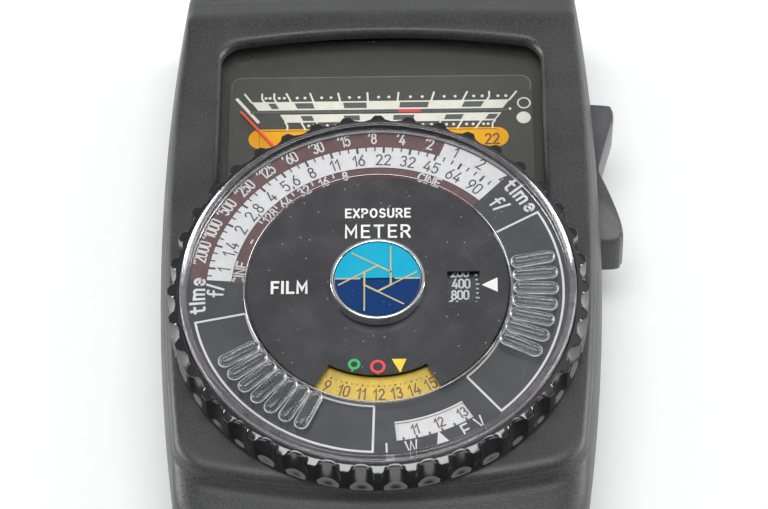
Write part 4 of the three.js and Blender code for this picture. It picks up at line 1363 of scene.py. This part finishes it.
finger_box(-49.4, 29.2)
finger_box(191.4, 268.4)
lines.write("time", 2.15, 0.4, on_arc(26.7, 37.2), 1.12, 0.3)
lines.write("f/", 2.2, 0.34, on_arc(23.0, 39.4), 1.0, 0.16)
lines.write("time", 2.15, 0.4, on_arc(26.4, 181.6), 1.12, 0.3)
lines.write("f/", 2.2, 0.34, on_arc(23.6, 179.8), 1.0, 0.16)
lines.write("EV", 2.0, 0.3, on_arc(28.8, -59.4, inward=True), 1.1, 0.66)
lines.write("LW", 2.0, 0.3, on_arc(28.8, -82.6, inward=True), 1.1, 0.95)
lines.band(EV_IN - 0.28, EV_IN - 0.02, EV_FROM, EV_TO)
tip, base = on_arc(EV_OUT - 0.1, -70.2), on_arc(28.85, -70.2)  # the arrow between E and V
lines.strip([tip(-0.04, 0), base(-1.15, 0)], [tip(0.04, 0), base(1.15, 0)])
speeds = [6, 12, 25, 50, 100, 200, 400, 800, 1600, 3200, 6400, 12500, 25000]
for i, speed in enumerate(speeds):
    angle = STOP * (speeds.index(400) - i)
    x, y = swung(FILM_R, 0, angle)
    spot = flat_at(x, y + 0.15, 0.0 if abs(angle) < 12 else angle)  # upright in the window
    tall, pen = (1.5, 0.27) if speed < 10000 else (1.05, 0.2)
    lines.write(str(speed), tall, pen, spot, 0.86, 0.2)
for third in range(-20, 18):
    lines.tick(15.0, 15.15 if third % 3 else 15.4, FILM_TICK * third + 3, 0.24)
lines.piece("disc_lines", WHITE_INK, "aperture_dial", "clear_disc")

# painted highlight: a light ink line round the foot of each rib stands in for the glints where the ribs bend
# the light
glints = Ink(clear_top + 0.01, 0.12)
for degrees in RIB_ANGLES:
    outline = capsule(RIB_HALF + 0.08)
    glints.stroke(outline + outline[:1], 0.17, flat_at(0, 0, degrees))
glints.piece("rib_glints", PAINTED_RIB_GLINT, "aperture_dial", "clear_disc")

# %% [markdown]
# ## Print on the centre disc
# The middle carries plain words that say what the dial is for, an arrow at the film speeds, and
# three marks that point into the yellow window. The badge's iris is drawn with the same pen.

# %% Words and marks of the centre disc
top = CENTRE_TOP + INK_GAP
words = Ink(top)
words.write("EXPOSURE", 1.45, 0.3, flat_at(0, 12.4), 1.05, 0.34)
words.write("METER", 2.1, 0.34, flat_at(0, 8.75), 1.1, 0.4)
words.write("FILM", 1.9, 0.4, flat_at(-13.4, -1.1), 1.05, 0.36)
words.strip([(15.75, -0.02), (18.1, 1.25)], [(15.75, -0.06), (18.1, -1.3)])  # the arrow
words.piece("centre_words", WHITE_INK, "case", "disc_lacquer")


MARK_R = 14.2  # distance of the marks from the axis


def stem(ink_used, degrees, start):
    """A stem from a mark to the yellow window. Back comes the middle of the mark."""
    ink_used.tick(start, READOUT_R - 0.15, degrees, 0.3)
    return swung(MARK_R, 0, degrees)


green = Ink(top)
x, y = stem(green, -104.4, 14.9)
green.stroke(bow(x, y, 0.72, 0.72, 0, 360, 24), 0.42)
green.piece("green_mark", GREEN_INK, "case", "disc_lacquer")

red = Ink(top)
x, y = stem(red, -90, 15.2)
red.stroke(bow(x, y, 0.95, 0.95, 0, 360, 28), 0.42)
red.piece("red_mark", RED_INK, "case", "disc_lacquer")

wedge = Ink(top)
x, y = stem(wedge, -77.3, 14.9)
wedge.strip([(x - 1.05, y + 0.95), (x + 0.1, y - 1.2)], [(x + 1.15, y + 0.95), (x + 0.3, y - 1.2)])
wedge.piece("yellow_mark", YELLOW_INK, "case", "disc_lacquer")

# %% Iris of the badge
OPENING = 2.3  # from the middle to a corner of the hexagon
BLADE_END = ENAMEL_R - 0.5
iris = Ink(top_of("emblem_disc"), 0.05)
corners = arc(OPENING, 30, 330, 5)
iris.stroke(corners + corners[:1], 0.3)
for before, corner in zip(corners, corners[1:] + corners[:1]):
    side = Vector(corner) - Vector(before)
    side.normalize()
    past = side.dot(corner)
    run = math.sqrt(BLADE_END**2 - OPENING**2 + past**2) - past  # from the corner to the rim
    iris.stroke([corner, tuple(Vector(corner) + side * run)], 0.22)
iris.piece("badge_iris", GOLD, "case", "bright_chrome")
enamel_thick = top_of("emblem_disc") - foot_of("emblem_disc")
bar = Ink(foot_of("emblem_disc"), enamel_thick + 0.03)
bar.stroke([(-ENAMEL_R + 0.2, 0), (-OPENING - 0.4, 0)], 0.24)
bar.stroke([(OPENING + 0.4, 0), (ENAMEL_R - 0.2, 0)], 0.24)
bar.piece("badge_divider", GOLD, "case", "bright_chrome")

# %% [markdown]
# ## Scale behind the window
# The needle swings over two checkered bands whose divisions all point at its pivot. So a mark is
# one number, its place along the band's edge, and a line from there towards the pivot gives it its
# slant. The divisions crowd together at the ends, as they do when a needle's swing isn't even. A
# few of the marks bend upright half way.

# %% Divisions of the window scale
face = PLATE_TOP + INK_GAP
UPPER = {"edge": 43.1, "band": (39.9, 41.55), "tip": 43.1, "dots": 42.3}
LOWER = {"edge": 39.05, "band": (37.5, 39.05), "tip": 36.1, "dots": 36.85}
UPPER_MARKS = [-21.6, -19.4, -17.4, -14.9, -11.1, -6.6, -1.9, 3.1, 8.8, 14.1, 18.2, 22.0]
LOWER_MARKS = [-15.9, -13.2, -10.6, -6.2, -2.9, 1.9, 6.0, 10.4, 14.0, 17.3, 19.6]
BENT_MARKS = [UPPER_MARKS[i] for i in (1, 2, 10)] + [LOWER_MARKS[i] for i in (0, -1)]
MIDDLE_LINE = 39.5  # the line between the two bands


def aimed(x, edge, y):
    """The place at height y on the line that runs from x at the edge to the needle's pivot."""
    return x * (y - NEEDLE_Y) / (edge - NEEDLE_Y), y


def checkered(scale, marks, figure_ink, block_ink):
    """One band with its dark blocks, its marks and two dots between each pair of marks."""
    low, high = scale["band"]
    edge = scale["edge"]
    margin = 0.3

    def upright(x, inset):
        return [aimed(x, edge, high - inset), aimed(x, edge, low + inset)]

    figure_ink.strip(upright(marks[0], 0), upright(marks[-1], 0))
    for i in range(1, len(marks) - 1, 2):
        block_ink.strip(upright(marks[i] + 0.45, margin), upright(marks[i + 1] - 0.3, margin))
    near = high if scale["tip"] > high else low
    for i, mark in enumerate(marks):
        start = aimed(mark, edge, near)
        if mark in BENT_MARKS:
            elbow = aimed(mark, edge, between(near, scale["tip"], 0.4))
            figure_ink.stroke([start, elbow, (elbow[0], scale["tip"])], 0.3)
        else:
            figure_ink.stroke([start, aimed(mark, edge, scale["tip"])], 0.3)
        if 0 < i < len(marks) - 1:
            for share in (0.36, 0.7):
                x, y = aimed(between(mark, marks[i + 1], share), edge, scale["dots"])
                figure_ink.dot(x, y, 0.25)


# %% Print on the scale plate
lettered = Ink(face)
blocks = Ink(face + LAYER)
checkered(UPPER, UPPER_MARKS, lettered, blocks)
checkered(LOWER, LOWER_MARKS, lettered, blocks)
lettered.stroke([(-22.8, 42.1), (-19.4, 37.7)], 0.5)  # where the needle rests
lettered.stroke(bow(23.2, 40.85, 0.98, 0.98, 0, 360, 28), 0.24)  # an open and a full circle
lettered.dot(23.1, 38.0, 1.15)
lettered.dot(20.95, 39.75, 0.24)
lettered.piece("window_scale", PALE_INK, "case", "scale_print")
blocks.stroke([(-20.4, MIDDLE_LINE), (20.3, MIDDLE_LINE)], 0.5)
blocks.piece("window_blocks", GREY_INK, "case", "scale_print")
spot_red = Ink(face + LAYER + 0.04)
spot_red.stroke([(3.4, MIDDLE_LINE), (6.3, MIDDLE_LINE)], 0.62)
spot_red.piece("window_red_mark", RED_INK, "case", "scale_print")

# painted highlight: a thin grey line along the plate's top edge stands in for the light on its bevel
edge = Ink(face)
left_corner, right_corner = bow(-22.1, 44.7, 1.6, 1.6, 180, 90), bow(22.7, 44.7, 1.6, 1.6, 90, 0)
edge.stroke([(-23.7, 43.5)] + left_corner + right_corner + [(24.3, 43.5)], 0.12)
edge.piece("plate_edge_painted_highlight", LINING_AND_PAINTED_HIGHLIGHT_INK, "case", "scale_print")

STRIP_Y, STRIP_HALF = 34.35, 1.85


def strip_end(x, start, end):
    """Half of a round end of the range strip, from above or from below."""
    return bow(x, STRIP_Y, STRIP_HALF, STRIP_HALF, start, end, 8)


range_strip = Ink(face)
range_strip.strip(strip_end(-19.0, 95, 175), strip_end(-19.0, 265, 185))
range_strip.strip([(-19.1, 36.2), (18.9, 36.2)], [(-19.1, 32.5), (18.9, 32.5)])
range_strip.strip(strip_end(18.8, 85, 5), strip_end(18.8, -85, -5))
range_strip.piece("range_strip", AMBER_INK, "case", "scale_print")
range_figures = Ink(face + LAYER)
range_figures.write("22", 1.9, 0.26, flat_at(18.0, 33.0), 0.86)
range_figures.stroke([(-18.6, 35.85), (18.6, 35.85)], 0.1)
range_figures.piece("range_figures", BROWN_INK, "case", "scale_print")

# %% [markdown]
# ## Rocker, needle, sensor and small parts
# The range rocker is a waisted bar whose face dips at the near end, where its end wall leans out
# towards the foot. The needle is a thin tapered blade with a short tail on a round hub. The
# diffuser is a hollow white dome on its slide. Small turned and stamped parts keep their CAD
# shapes, and get a fine bevel so that their edges take the light.


# %% Rocker
def rocker_outline(inset, near):
    """The rocker from above, with its outer side waisted."""
    outer = [(37.25, near), (38.45, near + 0.9), (38.65, near + 2.0), (37.65, 25.0)]
    outer += [(36.45, 28.6), (35.45, 31.2), (35.25, 32.6), (35.65, 34.2), (36.55, 37.4)]
    outer += [(37.65, 41.2), (37.95, 43.0), (37.65, 44.4), (36.75, 45.0)]
    smooth = smooth_row([(30.4, near + 0.1)] + outer + [(30.4, 45.5)], 5)
    middle_x, middle_y = 33.8, 32.2
    return [(between(x, middle_x, inset / 6), between(y, middle_y, inset / 12)) for x, y in smooth]


NEAR_FOOT, NEAR_TOP = 17.9, 19.2  # the near end wall, at the foot and at the face
DIP_FROM = 22.2  # nearer than this the face falls


def rocker_shape():
    """The rocker as rows from its foot to its face, with rounded edges."""
    foot, high = foot_of("rocker"), top_of("rocker")
    rows = [(foot, 0.5), (foot + 0.2, 0.2), (foot + 0.5, 0.04), (high - 1.6, 0)]
    rows += [(high - 0.7, 0.03), (high - 0.3, 0.12), (high - 0.08, 0.28), (high, 0.55)]
    loops = []
    for z, inset in rows:
        share = (z - foot) / (high - foot)
        outline = rocker_outline(inset, between(NEAR_FOOT, NEAR_TOP, share))
        loops.append([(x, y, z - max(0.0, DIP_FROM - y) * 0.55 * share) for x, y in outline])
    return skin(loops)


rocker = body_of_mesh("rocker_bar", rocker_shape())
cut(rocker, [bore(1.1, (foot_of("rocker") - 1, top_of("rocker") + 1), centre_of("rocker_pin"))])
place(rocker, FINISH["rocker_plastic"], "rocker", "rocker_plastic", ["rocker"], 38)


# %% Needle
NEEDLE_REST = 38.5  # degrees to the left of straight up
NEEDLE_REACH = 35.7  # from the pivot to the tip


def needle_part(half_widths, reach):
    """A flat tapered piece along the needle, between two distances from the pivot."""
    corners = [(-half_widths[0], reach[0]), (half_widths[0], reach[0])]
    corners += [(half_widths[1], reach[1]), (-half_widths[1], reach[1])]
    at_rest = [swung(x, y, NEEDLE_REST) for x, y in corners]
    levels = (foot_of("needle"), top_of("needle") - 0.1)
    return skin([[(x, y + NEEDLE_Y, z) for x, y in at_rest] for z in levels])


def needle_hub():
    """The ring that holds the needle on its staff."""
    foot, top = foot_of("needle"), top_of("needle")
    profile = [(0.75, foot), (1.75, foot), (1.9, foot + 0.1), (1.9, top - 0.1), (1.75, top), (0.75, top)]
    return turned(profile, 48, (0, NEEDLE_Y))


blade = needle_part((0.3, 0.17), (1.2, NEEDLE_REACH))
tail = needle_part((0.8, 0.6), (-3.9, -1.2))
needle = body_of_mesh("needle_blade", joined([needle_hub(), blade, tail]))
place(needle, FINISH["needle_red"], "needle_assembly", "needle_red", ["needle"])


# %% Diffuser dome
DOME_WALL = 0.9
NECK_OUT, NECK_IN = 4.9, 3.9  # the tube under the dome
CREST = 0.05  # the row at the crest is a tiny circle


def circle_along_y(radius, y, centre):
    """A circle that faces the sensor end. The centre is x and z."""
    turns = [2 * math.pi * i / 72 for i in range(72)]
    return [(centre[0] + radius * math.cos(a), y, centre[1] + radius * math.sin(a)) for a in turns]


def dome_shape():
    """The dome as a ring of rows: up its outer side and back down its inner side."""
    low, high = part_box("diffuser_dome")
    centre = (low.x + high.x) / 2 / MM, (low.z + high.z) / 2 / MM
    radius = (high.x - low.x) / 2 / MM
    inner = radius - DOME_WALL
    foot, base = low.y / MM, high.y / MM - radius
    outside = bow(0, base, radius, radius, 0, 90, 14)[:-1]
    inside = bow(0, base, inner, inner, 0, 90, 14)[:-1]
    rows = [(NECK_OUT, foot), (NECK_OUT, base), (radius - 0.1, base)] + outside
    rows += [(CREST, base + radius), (CREST, base + inner)]
    rows += [(r, y) for r, y in reversed(inside) if r < NECK_IN + 0.2] + [(NECK_IN, foot)]
    return skin([circle_along_y(r, y, centre) for r, y in rows], ring=True)


dome = body_of_mesh("diffuser_dome_fine", dome_shape())
place(dome, FINISH["opal_white"], "diffuser", "opal_white", ["diffuser_dome"])

# %% Fine bevels on the CAD's own pieces
SOFTENED = ["back_plate", "strap_lug", "slide_track", "diffuser_slider", "battery_test_button", "rocker_pin"]
SOFTENED += [f"case_screw_{i}" for i in (1, 2, 3, 4)] + ["zero_adjust_screw", "scale_plate", "cell_window"]
for name in SOFTENED:
    soft = frame["nodes"][name].modifiers.new("soft_edges", "BEVEL")
    soft.width = 0.12 * MM
    soft.segments = 2
    soft.angle_limit = math.radians(40)
print("softened:", len(SOFTENED))

# %% [markdown]
# ## Floor
# The meter lies on a plain pale sheet. It is only a stage, and no part of the object.

# %% Floor
FLOOR_HALF = 3000
paper, start = new_finish("pale_paper")
fibre = cloud(start, 3, 4.0)
inputs = {"Base Color": tint(start, fibre, (0.93, 0.93, 0.93), (0.96, 0.96, 0.96)), "Roughness": 0.8}
cover_with(start, start.add("BsdfPrincipled", None, inputs))
near_edge = [(-FLOOR_HALF, -FLOOR_HALF), (FLOOR_HALF, -FLOOR_HALF)]
far_edge = [(FLOOR_HALF, FLOOR_HALF), (-FLOOR_HALF, FLOOR_HALF)]
sheet = [[(x, y, z) for x, y in near_edge + far_edge] for z in (-2, -0.02)]
floor = body_of_mesh("floor", skin(sheet))
floor.data.materials.append(paper)
